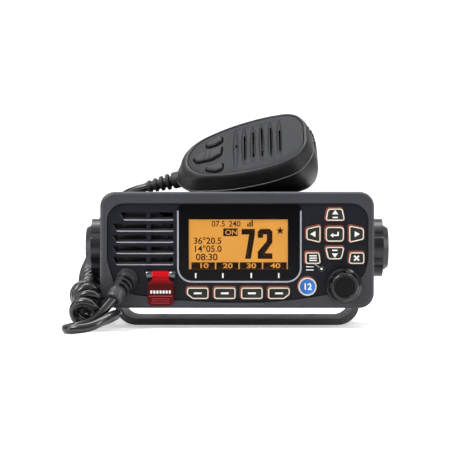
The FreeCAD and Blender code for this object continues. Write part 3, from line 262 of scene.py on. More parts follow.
def red_with_painted_light(name, base, foot, neck, stops):
    """Red moulding with painted light and shade: its brightness follows its height, from foot to neck, in
    millimetres.
    """
    material, shader = shader_of(name, 0.12)
    split = add(material, "SeparateXYZ")
    link(material, object_place(material), split.inputs["Vector"])
    height = add(material, "MapRange", From_Min=foot * MM, From_Max=neck * MM)
    link(material, split.outputs["Z"], height.inputs["Value"])
    ramp = add_ramp(material, [(position, shade(base, factor)) for position, factor in stops])
    link(material, height.outputs["Result"], ramp.inputs["Fac"])
    link(material, ramp.outputs["Color"], shader.inputs["Base Color"])
    assign(shader, Specular_IOR_Level=0.08, Coat_Weight=0.03, Coat_Roughness=0.05)
    return material


MATERIALS = {}


# ---------------------------------------------------------------- mesh helpers
def verts_of(geometry):
    return [g for g in geometry if isinstance(g, bmesh.types.BMVert)]


def bevelled(bm, edges, offset, segments=3):
    bmesh.ops.bevel(bm, geom=edges, offset=offset, segments=segments, profile=0.5, affect="EDGES",
                    material=-1)


def pour(bm, mesh):
    """Adds a mesh to a bmesh and throws the mesh away."""
    bm.from_mesh(mesh)
    bpy.data.meshes.remove(mesh)


def shown(name, mesh):
    piece = bpy.data.objects.new(name, mesh)
    bpy.context.scene.collection.objects.link(piece)
    return piece


def settle(name, bm, body, materials, replaces=(), smooth=40.0):
    """Makes a piece of a finished bmesh, in metres, and lets it ride on a body."""
    mesh = bpy.data.meshes.new(name)
    bm.to_mesh(mesh)
    bm.free()
    for material in materials:
        mesh.materials.append(MATERIALS[material])
    for polygon in mesh.polygons:
        polygon.use_smooth = smooth > 0
    if smooth > 0:
        mesh.set_sharp_from_angle(angle=math.radians(smooth))
    piece = shown(name, mesh)
    if body:
        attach(piece, body)
    if replaces:
        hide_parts(*replaces)
    return piece


def node_copy(node):
    """Copy of a node's mesh with its triangles merged into whole faces."""
    bm = bmesh.new()
    bm.from_mesh(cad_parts[node].data)
    bmesh.ops.remove_doubles(bm, verts=bm.verts, dist=SAME_POINT)
    bmesh.ops.dissolve_limit(bm, angle_limit=math.radians(1.0), verts=bm.verts, edges=bm.edges)
    return bm


def front_face(bm):
    """Largest face among those that look to the front and lie foremost."""
    facing = [f for f in bm.faces if f.normal.y < -0.99]
    first = min(f.calc_center_median().y for f in facing)
    foremost = [f for f in facing if f.calc_center_median().y < first + FOREMOST]
    return max(foremost, key=lambda f: f.calc_area())


def plate(bm, points, y, depth, material=0):
    """Flat prism in the front plane, from its corners (x, z) in millimetres."""
    verts = [bm.verts.new((x * MM, y, z * MM)) for x, z in points]
    moved = verts_of(bmesh.ops.extrude_face_region(bm, geom=[bm.faces.new(verts)])["geom"])
    bmesh.ops.translate(bm, vec=(0, -depth, 0), verts=moved)
    faces = {f for v in verts + moved for f in v.link_faces}
    for f in faces:
        f.material_index = material
    bmesh.ops.recalc_face_normals(bm, faces=list(faces))


def bar(x, z, width, height):
    return [(x - width / 2, z - height / 2), (x + width / 2, z - height / 2),
            (x + width / 2, z + height / 2), (x - width / 2, z + height / 2)]


def disc(x, z, radius, count=24):
    angles = [FULL_TURN * i / count for i in range(count)]
    return [(x + radius * math.cos(a), z + radius * math.sin(a)) for a in angles]


def ring_plate(bm, x, z, outer, inner, y, depth):
    """Flat ring in the front plane."""
    made = bmesh.ops.create_circle(bm, cap_ends=False, radius=outer * MM, segments=40)
    place = Matrix.Translation((x * MM, y, z * MM)) @ Matrix.Rotation(math.radians(90), 4, "X")
    bmesh.ops.transform(bm, matrix=place, verts=made["verts"])
    edges = list({e for v in made["verts"] for e in v.link_edges})
    grown = bmesh.ops.extrude_edge_only(bm, edges=edges)["geom"]
    centre = Vector((x * MM, y, z * MM))
    bmesh.ops.scale(bm, vec=(inner / outer,) * 3, verts=verts_of(grown), space=Matrix.Translation(-centre))
    faces = [g for g in grown if isinstance(g, bmesh.types.BMFace)]
    bmesh.ops.solidify(bm, geom=faces, thickness=depth)


def figures_on(bm, text, x, z, height, level, weight=0.0, width=1.0, material=0):
    """Adds plain figures, facing the front, to a bmesh; x, z and height in millimetres."""
    data = bpy.data.curves.new("figures", "FONT")
    data.body = text
    data.offset = weight
    mesh = curve_mesh(data)
    scale = height * MM / max(v.co.y for v in mesh.vertices)
    mesh.transform(Matrix(((scale * width, 0, 0, x * MM), (0, 0, -1, level),
                           (0, scale, 0, z * MM), (0, 0, 0, 1))))
    for polygon in mesh.polygons:
        polygon.material_index = material
    pour(bm, mesh)


def nurbs_data(name, points, resolution, radius=0.0, sides=0):
    """Smooth line, or a round bar along it, by control points given in metres."""
    data = bpy.data.curves.new(name, "CURVE")
    data.dimensions = "3D"
    data.resolution_u = resolution
    data.bevel_depth = radius
    data.bevel_resolution = sides
    data.use_fill_caps = True
    spline = data.splines.new("NURBS")
    spline.points.add(len(points) - 1)
    for point, place in zip(spline.points, points):
        point.co = (*place, 1.0)
    spline.order_u = 3
    spline.use_endpoint_u = True
    return data


def curve_mesh(data):
    """Mesh of a curve, which is used up."""
    holder = bpy.data.objects.new(data.name + "_line", data)
    mesh = bpy.data.meshes.new_from_object(holder)
    bpy.data.objects.remove(holder)
    bpy.data.curves.remove(data)
    return mesh


def line_points(points, resolution):
    """Points of the smooth line itself."""
    mesh = curve_mesh(nurbs_data("line", points, resolution))
    places = [v.co.copy() for v in mesh.vertices]
    bpy.data.meshes.remove(mesh)
    return places


def swept(bm, points, radius):
    """Adds a round bar along a smooth line to a bmesh."""
    pour(bm, curve_mesh(nurbs_data("bar", points, 4, radius, 3)))


def inset_corners(corners, distance):
    """Corners of a convex outline moved inwards."""
    count = len(corners)
    area = sum(corners[i - 1][0] * corners[i][1] - corners[i][0] * corners[i - 1][1]
               for i in range(count))
    side = -1.0 if area > 0 else 1.0
    moved = []
    for i, corner in enumerate(corners):
        here = Vector(corner)
        a = (here - Vector(corners[i - 1])).normalized()
        b = (Vector(corners[(i + 1) % count]) - here).normalized()
        inwards = Vector((a.y + b.y, -a.x - b.x)) * side
        moved.append(here + inwards * (distance / (1 + a.dot(b))))
    return moved


def rounded(corners, radii, steps=8):
    """Points of an outline whose corners are arcs, with as many points at each corner."""
    places = []
    for i, here in enumerate(corners):
        a = (corners[i - 1] - here).normalized()
        b = (corners[(i + 1) % len(corners)] - here).normalized()
        half = a.angle(b) / 2
        centre = here + (a + b).normalized() * (radii[i] / math.sin(half))
        start = here + a * (radii[i] / math.tan(half)) - centre
        end = here + b * (radii[i] / math.tan(half)) - centre
        turn = math.pi - 2 * half
        for k in range(steps + 1):
            share = k / steps
            arm = start * math.sin((1 - share) * turn) + end * math.sin(share * turn)
            places.append(centre + arm / math.sin(turn))
    return places


def loop(bm, corners, radii, level, slope=0.0, shrink=0.0, steps=8):
    """Closed run of edges in the microphone's plane, with n = level + slope * u."""
    inner = inset_corners(corners, shrink)
    places = rounded(inner, [max(r - shrink, 0.3) for r in radii], steps)
    verts = [bm.verts.new((p.x, p.y, level + slope * p.x)) for p in places]
    return [bm.edges.new((verts[i - 1], verts[i])) for i in range(len(verts))]


def skin(bm, loops, closed=False):
    """Faces between neighbouring loops."""
    pairs = list(zip(loops, loops[1:]))
    if closed:
        pairs.append((loops[-1], loops[0]))
    for first, second in pairs:
        bmesh.ops.bridge_loops(bm, edges=first + second)


def capped(bm, loops):
    """Closed body with a skin over its loops and a face at each end."""
    skin(bm, loops)
    for end in (loops[0], loops[-1]):
        bmesh.ops.edgeloop_fill(bm, edges=end)


def face_outwards(bm):
    bmesh.ops.recalc_face_normals(bm, faces=bm.faces)


def weights(share):
    """Weights of the three points of a curve."""
    return (1 - share) ** 2, 2 * share * (1 - share), share ** 2


def blended(first, second, share):
    return [tuple(p[k] + (q[k] - p[k]) * share for k in (0, 1)) for p, q in zip(first, second)]


def turned(bm, profile, place, steps=48, material=0, angle=FULL_TURN, lead=0.0):
    """Body of revolution: profile points (along, radius) in millimetres, turned about the local X axis."""
    verts = [bm.verts.new((along * MM, radius * MM * math.cos(lead), radius * MM * math.sin(lead)))
             for along, radius in profile]
    edges = [bm.edges.new(pair) for pair in zip(verts, verts[1:])]
    whole = angle == FULL_TURN
    if not whole:
        edges.append(bm.edges.new((verts[-1], verts[0])))
        bmesh.ops.contextual_create(bm, geom=edges)
    ends = {f for v in verts for f in v.link_faces}
    old = set(bm.faces) - ends
    bmesh.ops.spin(bm, geom=verts + edges + list(ends), cent=(0, 0, 0), axis=(1, 0, 0), angle=angle,
                   steps=steps, use_merge=whole)
    points = list({v for f in bm.faces if f not in old for v in f.verts})
    bmesh.ops.remove_doubles(bm, verts=points, dist=1e-7)
    fresh = [f for f in bm.faces if f not in old]
    for f in fresh:
        f.material_index = material
    bmesh.ops.recalc_face_normals(bm, faces=fresh)
    points = list({v for f in fresh for v in f.verts})
    bmesh.ops.transform(bm, matrix=place, verts=points)


def aimed(origin, direction):
    """Place whose local X axis points along a direction; origin in millimetres."""
    turn = direction.to_track_quat("X", "Z").to_matrix().to_4x4()
    return Matrix.Translation(origin * MM) @ turn


def ribs_profile(start, count, pitch, width, first, last, core, rim=0.45, flank=0.1):
    """Rounded ribs along a core, from one radius to another."""
    profile = []
    for i in range(count):
        a = start + i * pitch
        top = first + (last - first) * i / (count - 1)
        profile += [(a, core), (a + flank, top - rim), (a + rim, top), (a + width - rim, top),
                    (a + width - flank, top - rim), (a + width, core)]
    return profile


def carved(bm, tool):
    """Cuts a closed bmesh out of another one, and gives the result."""
    objects = []
    for shape in (bm, tool):
        mesh = bpy.data.meshes.new("carving")
        shape.to_mesh(mesh)
        shape.free()
        objects.append(shown("carving", mesh))
    cut = objects[0].modifiers.new("cut", "BOOLEAN")
    cut.object = objects[1]
    cut.operation = "DIFFERENCE"
    cut.solver = "EXACT"
    graph = bpy.context.evaluated_depsgraph_get()
    result = bmesh.new()
    result.from_mesh(bpy.data.meshes.new_from_object(objects[0].evaluated_get(graph)))
    for item in objects:
        bpy.data.objects.remove(item)
    return result


def add_block(bm, low, high, place=Matrix(), edge=0.0):
    """Box between two corners, with its edges rounded."""
    low, high = Vector(low), Vector(high)
    made = bmesh.ops.create_cube(bm, size=1.0)["verts"]
    size = Matrix.Diagonal((*(high - low), 1.0))
    bmesh.ops.transform(bm, matrix=place @ Matrix.Translation((low + high) / 2) @ size, verts=made)
    if edge:
        bevelled(bm, list({e for v in made for e in v.link_edges}), edge)


# ---------------------------------------------------------------- operators
class RADIO_OT_finishes(bpy.types.Operator):
    """Makes the finishes and gives them to the solid parts"""
    bl_idname = "radio.finishes"
    bl_label = "Finishes"

    # plain finishes: colour property or linear colour, roughness, other settings and solid parts;
    # dim multiplies the colour, and lift is added to it
    PLAIN = {
        "case plastic": ("case", 0.42, dict(grain=0.35, depth=0.012), ["front_case"]),
        "fascia plastic": ("fascia", 0.42, dict(grain=0.3, depth=0.010, gloss=0.2), ["front_fascia"]),
        # real speaker frame and magnet, coloured near black as painted shade for the inside behind the grille
        "speaker metal": ((0.006, 0.006, 0.009), 0.6, dict(gloss=0.15), ["speaker_frame", "speaker_magnet"]),
        "bracket coat": ("bracket", 0.42, dict(grain=0.9, clouds=0.05), ["mounting_bracket"]),
        "knob plastic": ("side_knob", 0.30, dict(depth=0.006), ["side_knob_left", "side_knob_right"]),
        "powder coat": ("chassis", 0.46, dict(grain=0.9, depth=0.035, clouds=0.06), ["rear_chassis"]),
        "steel": ((0.55, 0.55, 0.57), 0.3, dict(metallic=1.0, grain=0.15, depth=0.004, stretch=(1, 12, 1)),
                  ["knob_stud_left", "knob_stud_right", "chassis_screws", "encoder_body", "volume_shaft",
                   "cover_pin"]),
        "brass": ((0.68, 0.50, 0.22), 0.3, dict(metallic=1.0, grain=0.2, depth=0.004), ["encoder_plunger"]),
        "plated metal": ((0.52, 0.52, 0.54), 0.24, dict(metallic=1.0, grain=0.5, depth=0.003),
                         ["antenna_socket"]),
        "rubber": ("rubber", 0.55, dict(grain=0.5, depth=0.012),
                   ["pivot_washers", "case_gasket", "cord_gland", "power_grommet", "mic_strain_relief",
                    "mic_ptt_bar"]),
        "cord rubber": ("rubber", 0.24, dict(dim=0.6, grain=0.8, depth=0.006, coat=0.25),
                        ["cord_lead", "cord_curl_lower", "cord_curl_upper", "cord_tail"]),
        "pale rubber": ((0.62, 0.60, 0.54), 0.6, {}, ["keypad_mat"]),
        "window plastic": ("window", 0.10, dict(grain=2.5, depth=0.002, clouds=0.04, gloss=0.12),
                           ["window_mask"]),
        # real raised edge round the window, coloured pale as a painted highlight
        "silver trim": ("trim", 0.30, dict(metallic=0.6, grain=0.3, depth=0.004), ["window_trim"]),
        "ink": ("ink", 0.6, dict(grain=0.2, depth=0.002, gloss=0.1), []),
        "light guide": ((0.85, 0.83, 0.78), 0.5, {}, ["lcd_backlight"]),
        "circuit board": ((0.02, 0.12, 0.05), 0.35, dict(grain=1.2, clouds=0.25, scale=220.0),
                          ["front_board", "main_board", "mic_board"]),
        "speaker paper": ((0.03, 0.03, 0.035), 0.8, dict(grain=0.3, depth=0.03),
                          ["speaker_cone", "mic_capsule"]),
        "knob gloss": ("knob", 0.14, dict(grain=1.5, depth=0.002, clouds=0.05, coat=0.2, gloss=0.35),
                       ["volume_knob"]),
        "hinge chrome": ((0.12, 0.12, 0.13), 0.14, dict(metallic=1.0, grain=0.5, depth=0.002), []),
        "knob cap": ("knob", 0.5, dict(dim=0.7, grain=0.3, depth=0.008, gloss=0.15), []),
        "cover edge": ("cover", 0.3, dict(dim=0.9, lift=0.01), []),
        "red rubber": ((0.42, 0.02, 0.02), 0.5, {}, ["distress_button"]),
        "key centre": ("key", 0.55, dict(grain=0.3, depth=0.008, gloss=0.25),
                       ["softkey_1", "softkey_2", "softkey_3", "softkey_4", "key_up", "key_down", "key_left",
                        "key_right", "key_enter", "key_menu", "key_clear"]),
        "mic face": ("mic_face", 0.52, dict(grain=0.45, depth=0.018, gloss=0.12), ["mic_face_panel"]),
        "mic shell": ("mic_shell", 0.42, dict(grain=0.5, depth=0.030, clouds=0.12, gloss=0.3),
                      ["mic_front_shell"]),
        "mic back": ("mic_back", 0.40, dict(grain=0.5, depth=0.025), ["mic_rear_shell", "mic_hanger_button"]),
        # lighter copy of the black rubber: painted highlight on the boot's sleeve
        "sleeve": ((0.045, 0.045, 0.05), 0.32, dict(grain=0.5, depth=0.01), []),
        # bead at the shells' seam, coloured pale as a painted highlight on their edges
        "mic seam": ((0.16, 0.16, 0.165), 0.4, dict(depth=0.01), []),
        "mic key": ("mic_face", 0.42, dict(dim=0.5, grain=0.3, depth=0.012, gloss=0.15),
                    ["mic_key_upper", "mic_key_lower", "mic_rocker_key"]),
        # painted highlight on the lower edges of the grille slots
        "grille lip": ((0.36, 0.36, 0.39), 0.3, dict(metallic=0.2, grain=0.3, depth=0.004), []),
        # the slots' lower walls, lighter than the fascia: painted light on their upward faces
        "grille sill": ((0.028, 0.028, 0.034), 0.4, dict(grain=0.3, depth=0.01), []),
    }
    # glowing finishes: colour property, strength and the solid parts they cover
    GLOWING = {
        "key ring": ("key_ring", 0.12, []),
        "key glow": ("key_glow", 0.35, []),
        "round key": ("channel_key", 0.06, ["key_channel"]),
        "mark": ("mark", 0.10, []),
    }
    SCREEN_GLOW = 0.42
    WINDOW_IOR = 1.08
    # heights of the red cover's foot and neck, and its brightness from one to the other, which is painted
    # light and shade
    COVER_FOOT, COVER_NECK = 12.0, 34.0
    COVER_STOPS = ((0.0, 0.3), (0.2, 0.26), (0.34, 0.2), (0.6, 0.15), (0.68, 0.45), (0.85, 1.3))

    def give(self, name, material, nodes):
        """Keeps a finish, and makes it the only one of some solid parts."""
        MATERIALS[name] = material
        for node in nodes:
            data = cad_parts[node].data
            data.materials.clear()
            data.materials.append(material)

    def execute(self, context):
        colours = context.scene.radio_colours
        for name, (base, roughness, settings, nodes) in self.PLAIN.items():
            base = getattr(colours, base) if isinstance(base, str) else base
            settings = dict(settings)
            dim, lift = settings.pop("dim", 1.0), settings.pop("lift", 0.0)
            base = [min(1, x * dim + lift) for x in base]
            self.give(name, surface(name, base, roughness, **settings), nodes)
        for name, (base, strength, nodes) in self.GLOWING.items():
            self.give(name, glowing(name, getattr(colours, base), strength), nodes)
        self.give("clear window", clear("clear window", self.WINDOW_IOR), ["display_window"])
        self.give("lit screen", lit_screen("lit screen", colours.screen, self.SCREEN_GLOW), ["lcd_panel"])
        self.give("red cover", red_with_painted_light("red cover", colours.cover, self.COVER_FOOT, self.COVER_NECK,
                                          self.COVER_STOPS), ["distress_cover"])
        return {"FINISHED"}


class RADIO_OT_cords(bpy.types.Operator):
    """Lays the plain lead, winds the curled cord and joins its tail to the microphone"""
    bl_idname = "radio.cords"
    bl_label = "Cords"

    FIRST_ANGLE = math.radians(-90)
    OPENING_FADES = 22 * MM      # along the curl, from its beginning
    TAPER_TURNS = 0.75           # at the end of the curl
    LAST_POINTS = 7              # of the curl, left out where it leaves for the tail
    RUN_OUT = 6 * MM             # straight stretch from the last turn towards the tail
    LINE_STEPS = 12              # of the curl's middle line between its points
    CORD_STEPS, CORD_SIDES = 3, 5

    def wind(self, line, radius, pitch, opening, per_turn):
        """Control points of the turns round a line, pulled apart at its beginning."""
        steps = [(b - a).length for a, b in zip(line, line[1:])]
        total = sum(steps)
        places = [0.0]
        while places[-1] < total:
            open_here = 1.0 + opening * math.exp(-((places[-1] / self.OPENING_FADES) ** 2))
            places.append(places[-1] + pitch * open_here / per_turn)
        normal = Vector((1, 0, 0))
        points = []
        k, passed = 0, 0.0
        for i, along in enumerate(places[:-1]):
            while k < len(steps) - 1 and passed + steps[k] < along:
                passed += steps[k]
                k += 1
            here = line[k].lerp(line[k + 1], (along - passed) / steps[k])
            tangent = (line[k + 1] - line[k]).normalized()
            normal = (normal - tangent * normal.dot(tangent)).normalized()
            across = normal.cross(tangent)
            angle = self.FIRST_ANGLE - FULL_TURN * i / per_turn
            left = (len(places) - i) / per_turn
            reach = radius * min(1.0, left / self.TAPER_TURNS)
            points.append(here + normal * (reach * math.cos(angle)) + across * (reach * math.sin(angle)))
        return points

    def tube(self, name, points, replaced, sleeve, sizes, lifts=False):
        """Round cord along its points; the sleeve argument is not used. Without lifts it rides on the radio;
        with lifts its place is baked into its points.
        """
        mesh = curve_mesh(nurbs_data(name, points, self.CORD_STEPS, sizes.cord / 2, self.CORD_SIDES))
        path = line_points(points, self.CORD_STEPS)
        mesh.materials.clear()
        mesh.materials.append(MATERIALS["cord rubber"])
        for polygon in mesh.polygons:
            polygon.use_smooth = True
        piece = shown(name, mesh)
        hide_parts(*replaced)
        if lifts:
            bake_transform(piece)
        else:
            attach(piece, "radio")

    def execute(self, context):
        sizes = context.scene.radio_sizes
        lead, curl, tail = ([Vector(p) * MM for p in route]
                            for route in (LEAD_ROUTE, CURL_ROUTE, TAIL_ROUTE))
        turns = self.wind(line_points(curl, self.LINE_STEPS), (sizes.curl - sizes.cord) / 2, sizes.pitch,
                          sizes.opening, sizes.turn_points)
        split = next(i for i, p in enumerate(turns) if p.y > CURL_SPLIT.y * MM)
        # the lead's end stands in for the first point of the turns, so it flows into them
        self.tube("coiled_cord_lower", lead + turns[1:split + 1], ["cord_lead", "cord_curl_lower"],
                  "cord_boot", sizes)
        # the last turn runs out straight before the cord bends into its tail
        upper = turns[split:-self.LAST_POINTS]
        bridge = upper[-1] + (upper[-1] - upper[-2]).normalized() * self.RUN_OUT
        self.tube("coiled_cord_upper", upper + [bridge] + tail + [RELIEF_END * MM],
                  ["cord_curl_upper", "cord_tail"], "mic_strain_relief_ribs", sizes, lifts=True)
        return {"FINISHED"}


class RADIO_OT_keys(bpy.types.Operator):
    """Gives every key its pale ring, dark centre, leaking light and printed mark"""
    bl_idname = "radio.keys"
    bl_label = "Keys"

    # all in millimetres
    CENTRE_WALL = 0.12
    RIM_ROUND = 0.28
    FIGURES_AT, FIGURES_HEIGHT = (-2.6, -1.7), 3.6
    GLOW_INSET, GLOW_WIDENS, GLOW_THICK = 1.0, 0.8, 0.03
    GLOW_SHIFT = (-0.3, 1.44, 0.45)
    BARS = {"softkey": (4.4, 1.0), "menu": (4.2, 0.62), "up_down": (3.0, 0.7)}
    CROSS_ARM, CROSS_HALF = 1.35, 0.32

    def mark_outlines(self, name, x, z):
        """Printed mark of a key, as outlines round its middle."""
        if name.startswith("softkey"):
            return [bar(x, z, *self.BARS["softkey"])]
        if name in ("key_up", "key_down"):
            up = 1 if name == "key_up" else -1
            return [[(x - 1.7, z + 0.2 * up), (x + 1.7, z + 0.2 * up), (x, z + 2.6 * up)],
                    bar(x, z - 1.6 * up, *self.BARS["up_down"])]
        if name in ("key_left", "key_right"):
            right = 1 if name == "key_right" else -1
            return [[(x + 1.9 * right, z), (x - 1.1 * right, z + 1.7), (x - 1.1 * right, z - 1.7)]]
        if name == "key_enter":
            return [bar(x + 0.4, z - 0.6, 3.6, 0.75), bar(x + 1.85, z + 0.55, 0.75, 1.6),
                    [(x - 2.6, z - 0.6), (x - 0.9, z - 1.9), (x - 0.9, z + 0.7)]]
        if name == "key_menu":
            return [bar(x, z + dz, *self.BARS["menu"]) for dz in (-1.3, 0.0, 1.3)]
        if name == "key_clear":
            long, short = self.CROSS_ARM + self.CROSS_HALF, self.CROSS_ARM - self.CROSS_HALF
            return [[(x - long, z - short * rise), (x - short, z - long * rise),
                     (x + long, z + short * rise), (x + short, z + long * rise)] for rise in (1, -1)]
        return []

    def execute(self, context):
        sizes = context.scene.radio_sizes
        glow = bmesh.new()
        names = [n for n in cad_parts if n.startswith(("softkey", "key_")) and n != "keypad_mat"]
        for name in sorted(names):
            bm = node_copy(name)
            face = front_face(bm)
            middle = face.calc_center_bounds()
            ring = bmesh.ops.inset_region(bm, faces=[face], thickness=sizes.key_ring, use_even_offset=True)
            wall = bmesh.ops.inset_region(bm, faces=[face], thickness=self.CENTRE_WALL * MM,
                                          use_even_offset=True)
            bmesh.ops.translate(bm, vec=(0, sizes.key_recess, 0), verts=face.verts)
            for f in ring["faces"]:
                f.material_index = 1
            for f in list(wall["faces"]) + [face]:
                f.material_index = 2
            edge = [e for e in bm.edges if all(abs(v.co.y - middle.y) < SAME_LEVEL for v in e.verts)
                    and {0, 1} <= {f.material_index for f in e.link_faces}]
            bevelled(bm, edge, self.RIM_ROUND * MM)
            x, z = middle.x / MM, middle.z / MM
            level = middle.y + sizes.key_recess
            for outline in self.mark_outlines(name, x, z):
                plate(bm, outline, level, sizes.mark_lift, 3)
            centre, slot = "key centre", "key_rubber"
            if name == "key_channel":
                centre, slot = "round key", "key_blue"
                figures_on(bm, "12", x + self.FIGURES_AT[0], z + self.FIGURES_AT[1], self.FIGURES_HEIGHT,
                           level - sizes.mark_lift, 0.02, 1.0, 3)
            settle(name + "_cap", bm, name, ["key glow", "key ring", centre, "mark"], [name], smooth=30)
            self.leak(glow, name)
        bmesh.ops.solidify(glow, geom=list(glow.faces), thickness=self.GLOW_THICK * MM)
        settle("key_glow_pads", glow, "radio", ["key glow"], smooth=0)
        return {"FINISHED"}

    def leak(self, glow, name):
        """Adds the light that leaks out above and to the left of a key."""
        low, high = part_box(name)
        inset, widens = self.GLOW_INSET * MM, self.GLOW_WIDENS * MM
        wide, tall = high.x - low.x - 2 * inset, high.z - low.z - 2 * inset
        shape = node_copy(name)
        keep = front_face(shape)
        bmesh.ops.delete(shape, geom=[f for f in shape.faces if f is not keep], context="FACES")
        centre = Vector(((low.x + high.x) / 2, keep.calc_center_median().y, (low.z + high.z) / 2))
        bmesh.ops.scale(shape, vec=((wide + widens) / wide, 1, (tall + widens) / tall), verts=shape.verts,
                        space=Matrix.Translation(-centre))
        bmesh.ops.translate(shape, vec=Vector(self.GLOW_SHIFT) * MM, verts=shape.verts)
        mesh = bpy.data.meshes.new("glow")
        shape.to_mesh(mesh)
        shape.free()
        pour(glow, mesh)


class RADIO_OT_display(bpy.types.Operator):
    """Draws the plain figures and bars of the lit display, and the ticks under it"""
    bl_idname = "radio.display"
    bl_label = "Display"

    # strokes of the two large figures
    SEVEN = [[(0.0, 13.9), (7.6, 13.9), (7.6, 17.1), (0.0, 17.1)],
             [(2.0, 0.0), (5.3, 0.0), (7.6, 14.0), (4.3, 14.0)]]
    TWO = [[(0.0, 12.0), (3.1, 12.0), (3.1, 14.2), (1.7, 17.1), (0.0, 15.6)],
           [(1.4, 17.1), (2.9, 14.0), (5.5, 14.0), (7.0, 17.1)],
           [(6.8, 17.1), (5.2, 14.2), (5.2, 10.1), (8.4, 9.2), (8.4, 15.6)],
           [(5.2, 10.3), (0.0, 4.0), (0.0, 3.0), (3.9, 3.0), (8.4, 9.4)],
           [(0.0, 0.0), (8.4, 0.0), (8.4, 3.2), (0.0, 3.2)]]

    LARGE_FIGURES = ((2.6, 39.9, SEVEN), (11.8, 39.9, TWO))
    # text, left, base, height, weight and width of the small figures
    FIGURES = (("07.5", -14.6, 58.4, 3.2, 0.012, 1.0), ("240", -4.8, 58.4, 3.2, 0.012, 1.0),
               ("36°20.5", -25.0, 48.5, 3.8, 0.014, 1.02), ("14°05.0", -25.0, 43.9, 3.8, 0.014, 1.02),
               ("08:30", -23.6, 39.1, 3.8, 0.014, 1.05))
    STAR_AT, STAR_RADII = (24.6, 55.9), (2.4, 1.0)
    BADGE, BADGE_FIGURES = (-3.7, 55.1, 8.4, 4.4), ("ON", -6.9, 53.7, 2.8, 0.012, 1.15)
    SIGNAL_BARS, SIGNAL_AT, SIGNAL_WIDTH = 3, (6.2, 59.2), 0.85
    TABS, TAB_MIDDLE, TAB_HEIGHT = ((-26.1, -12.6), (-11.9, 0.8), (1.5, 14.2), (14.9, 28.4)), 36.0, 3.9
    TAB_FIGURES = (34.7, 2.7, 0.02, 1.5)             # base, height, weight and width
    LIT, LINE = (-27.8, 29.3, 33.7, 62.7), 0.6       # left, right, base and top, and the line round them
    TICKS, TICK_MIDDLE, TICK_SIZE = (-23.6, -8.1, 8.1, 23.8), 30.4, (0.75, 2.8)
    GAP, THICK = 0.03 * MM, 0.02 * MM

    def shapes(self):
        """Outlines of everything dark on the display but the small figures."""
        for left, base, strokes in self.LARGE_FIGURES:
            for stroke in strokes:
                yield [(left + x, base + z) for x, z in stroke]
        x, z = self.STAR_AT
        yield [(x + r * math.sin(math.pi * i / 5), z + r * math.cos(math.pi * i / 5))
               for i, r in enumerate(self.STAR_RADII * 5)]
        yield bar(*self.BADGE)
        x, z = self.SIGNAL_AT
        for i in range(self.SIGNAL_BARS):
            yield bar(x + i * 1.2, z + i * 0.5, self.SIGNAL_WIDTH, 1.7 + i)
        for a, b in self.TABS:
            yield bar((a + b) / 2, self.TAB_MIDDLE, b - a, self.TAB_HEIGHT)
        # dark line round the lit area
        x0, x1, z0, z1 = self.LIT
        for z in (z1, z0):
            yield bar((x0 + x1) / 2, z, x1 - x0 + self.LINE, self.LINE)
        for x in (x0, x1):
            yield bar(x, (z0 + z1) / 2, self.LINE, z1 - z0)

    def execute(self, context):
        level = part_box("lcd_panel")[0].y - self.GAP
        bm = bmesh.new()
        for text, x, z, height, weight, width in self.FIGURES:
            figures_on(bm, text, x, z, height, level, weight, width)
        for outline in self.shapes():
            plate(bm, outline, level, self.THICK)
        settle("display_figures", bm, "radio", ["ink"], smooth=0)
        # bright figures on the dark badge and tabs
        bm = bmesh.new()
        above = level - 2 * self.THICK
        tab_figures = [(str(i + 1) + "0", (a + b) / 2 - 2.6, *self.TAB_FIGURES)
                       for i, (a, b) in enumerate(self.TABS)]
        for text, x, z, height, weight, width in (self.BADGE_FIGURES, *tab_figures):
            figures_on(bm, text, x, z, height, above, weight, width)
        settle("display_tab_figures", bm, "radio", ["lit screen"], smooth=0)
        bm = bmesh.new()
        for x in self.TICKS:
            plate(bm, bar(x, self.TICK_MIDDLE, *self.TICK_SIZE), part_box("window_mask")[0].y, self.GAP)
        settle("window_ticks", bm, "radio", ["mark"], smooth=0)
        return {"FINISHED"}


